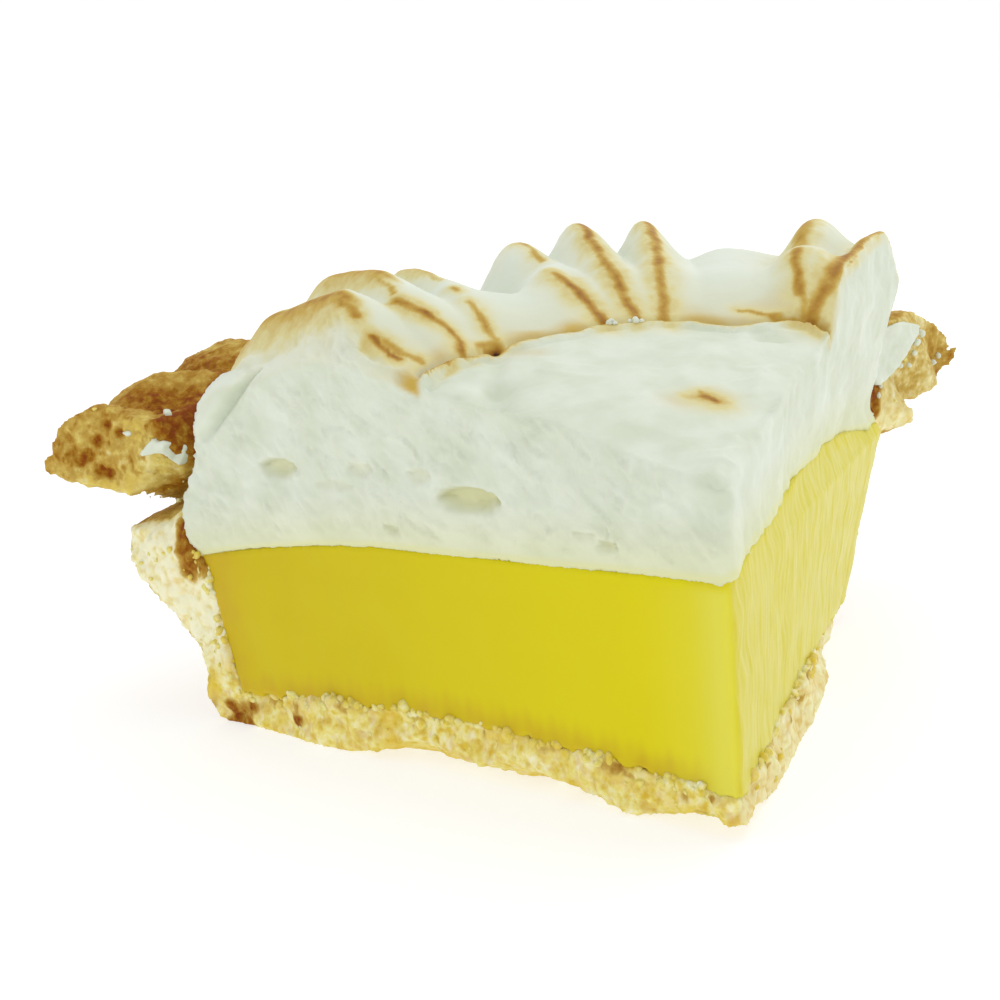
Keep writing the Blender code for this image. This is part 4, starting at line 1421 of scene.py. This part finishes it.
# Crumbs that the knife dragged over the line between pastry and filling: how many of them lie along
# the base at the left cut, up the wall there, and along the base at the right cut
EDGE_CRUMBS = (110, 25, 70)
EDGE_LOW = -0.3     # on average they lie this much off the line
EDGE_OUT = 0.4
EDGE_SPREAD = 0.8
rng = np.random.default_rng(9)
edge_places = []
for radius in rng.uniform(5, 94, EDGE_CRUMBS[0]):
    z = float(base_top(radius)) + rng.normal(EDGE_LOW, EDGE_SPREAD)
    edge_places.append(spot(radius, -CUT_DEGREES, z))
for z in rng.uniform(6, 27, EDGE_CRUMBS[1]):
    radius = filling_side(z) + rng.normal(EDGE_OUT, EDGE_SPREAD)
    edge_places.append(spot(radius, -CUT_DEGREES, z))
for radius in rng.uniform(5, 90, EDGE_CRUMBS[2]):
    z = float(base_top(radius)) + rng.normal(EDGE_LOW, EDGE_SPREAD)
    edge_places.append(spot(radius, math.degrees(float(right_cut(radius, z))), z))
edge_sizes = rng.uniform(0.6, 1.9, len(edge_places))
scatter("edge_crumbs", crust, edge_places, edge_sizes, EDGE_SINK, crust_finish)

points, normals, _, _, z = survey(crust)
at_break = np.maximum(facing(normals, LEFT, 0.75), facing(normals, RIGHT, 0.75))
at_break = at_break * (z > 1.5 - BASE_BELOW) * (1 - 0.75 * ramp(z, 34, 38))
chosen = rng.choice(len(points), CRUMB_COUNT, replace=False, p=at_break / at_break.sum())
smallest, largest = CRUMB_SIZES
crumb_sizes = rng.uniform(0, 1, CRUMB_COUNT) ** 2 * (largest - smallest) + smallest
scatter("crumbs", crust, points[chosen], crumb_sizes, CRUMB_SINK, crust_finish)

# %% [markdown]
# ## Floor, light and camera
# The slice stands on a plain white floor that bends up into a low wall a long way off, so there is no
# horizon. The floor glows a little, as a light table does, which keeps the shadow faint and lights
# the crust from below. Large soft lights from above and from the right give the folds their form.
# The camera is a short telephoto, a little above the slice and to its left, turned by a few degrees.

# %% Stage helpers
SWEEP_RADIUS = 3.5   # metres
SWEEP_HEIGHT = 1.6
SWEEP_BEND = 0.6
BEND_ANGLE = math.radians(40)
BEND_STEPS = 10
FLOOR_GLOW = 0.62
AIM = (0, 0, 0.03)   # metres: the lights look at this place in the slice


def studio_sweep():
    """A round floor that bends up into a low wall, white and softly glowing."""
    bpy.ops.object.select_all(action="DESELECT")
    bpy.ops.mesh.primitive_cylinder_add(
        vertices=64, radius=SWEEP_RADIUS, depth=SWEEP_HEIGHT, location=(0, 0, SWEEP_HEIGHT / 2)
    )
    sweep = bpy.context.object
    sweep.name = "white_floor"
    bpy.ops.object.transform_apply(location=True)
    bpy.ops.object.mode_set(mode="EDIT")
    bpy.ops.mesh.select_mode(type="FACE")
    bpy.ops.mesh.select_all(action="DESELECT")
    bpy.ops.object.mode_set(mode="OBJECT")
    for polygon in sweep.data.polygons:
        polygon.select = polygon.center.z > 0.99 * SWEEP_HEIGHT
    bpy.ops.object.mode_set(mode="EDIT")
    bpy.ops.mesh.delete(type="FACE")
    bpy.ops.object.mode_set(mode="OBJECT")
    turn_faces(inside=True)
    bend = sweep.modifiers.new("bend", "BEVEL")
    bend.width = SWEEP_BEND
    bend.segments = BEND_STEPS
    bend.limit_method = "ANGLE"
    bend.angle_limit = BEND_ANGLE
    apply_modifier(sweep, bend)
    bpy.ops.object.shade_smooth()
    m = start_material("white_acrylic")[0]
    glow = {
        "Base Color": "#b4b4b4",
        "Roughness": 0.9,
        "Emission Color": "#ffffff",
        "Emission Strength": FLOOR_GLOW,
    }
    cover(finish_material(m, add(m, "BsdfPrincipled", glow)), sweep)
    print("the floor is", 2 * SWEEP_RADIUS, "m across")


def softbox(name, place, size, power, tint):
    """A large square light at place, looking at the slice."""
    data = bpy.data.lights.new(name, "AREA")
    data.shape = "SQUARE"
    data.size = size
    data.energy = power
    data.color = tint
    light = bpy.data.objects.new(name, data)
    bpy.context.scene.collection.objects.link(light)
    back = np.array(place, float) - np.array(AIM, float)
    light.location = place
    light.rotation_euler = (
        math.atan2(math.hypot(back[0], back[1]), back[2]),
        0,
        math.atan2(back[0], -back[1]),
    )


def camera_axes(turn, rise, roll):
    """Right, up and back of a camera that looks along +Y when all three angles are 0."""
    level_back = np.array([math.sin(turn), -math.cos(turn), 0]) * math.cos(rise)
    back = level_back + np.array([0, 0, math.sin(rise)])
    level = np.cross(-back, [0, 0, 1])
    level /= np.linalg.norm(level)
    upright = np.cross(level, -back)
    right = level * math.cos(roll) + upright * math.sin(roll)
    up = -level * math.sin(roll) + upright * math.cos(roll)
    return right, up, back


# %% Floor and lights
WHITE = (1.0, 1.0, 1.0)

# Each light: its name, its place and size in metres, its power in watts and its tint
LIGHTS = (
    ("overhead", (0.25, 0.2, 1.0), 0.9, 3.2, (0.96, 0.99, 1.0)),
    ("right_back", (0.8, 0.5, 0.55), 0.6, 1.2, WHITE),
    ("front_left", (-0.7, -0.8, 0.6), 0.8, 0.5, WHITE),
)
studio_sweep()
for light in LIGHTS:
    softbox(*light)
print("lights:", [light[0] for light in LIGHTS])

ROOM_LIGHT = 0.68
world = bpy.data.worlds.new("white_room")
world.use_nodes = True
sky = world.node_tree.nodes["Background"]
sky.inputs["Color"].default_value = (*WHITE, 1.0)
sky.inputs["Strength"].default_value = ROOM_LIGHT
bpy.context.scene.world = world
bpy.context.scene.view_settings.view_transform = "Standard"

# %% Camera
CAMERA_FROM_MIDDLE = np.array([-77.3, -207.7, 93.8])  # millimetres from the pie's middle
CAMERA_TURN, CAMERA_RISE, CAMERA_ROLL = np.radians([-13.2, 12.4, -4.5])
CAMERA_LENS = 65.97      # millimetres
CAMERA_SENSOR = 36
CAMERA_NEAREST = 0.01    # metres

right, up, back = camera_axes(CAMERA_TURN, CAMERA_RISE, CAMERA_ROLL)
camera_data = bpy.data.cameras.new("camera")
camera_data.lens = CAMERA_LENS
camera_data.sensor_width = CAMERA_SENSOR
camera_data.clip_start = CAMERA_NEAREST
camera = bpy.data.objects.new("camera", camera_data)
bpy.context.scene.collection.objects.link(camera)
matrix = np.eye(4)
matrix[:3, 0], matrix[:3, 1], matrix[:3, 2] = right, up, back
matrix[:3, 3] = CAMERA_FROM_MIDDLE * MM + PIE_MIDDLE
camera.matrix_world = Matrix(matrix.tolist())
bpy.context.scene.camera = camera
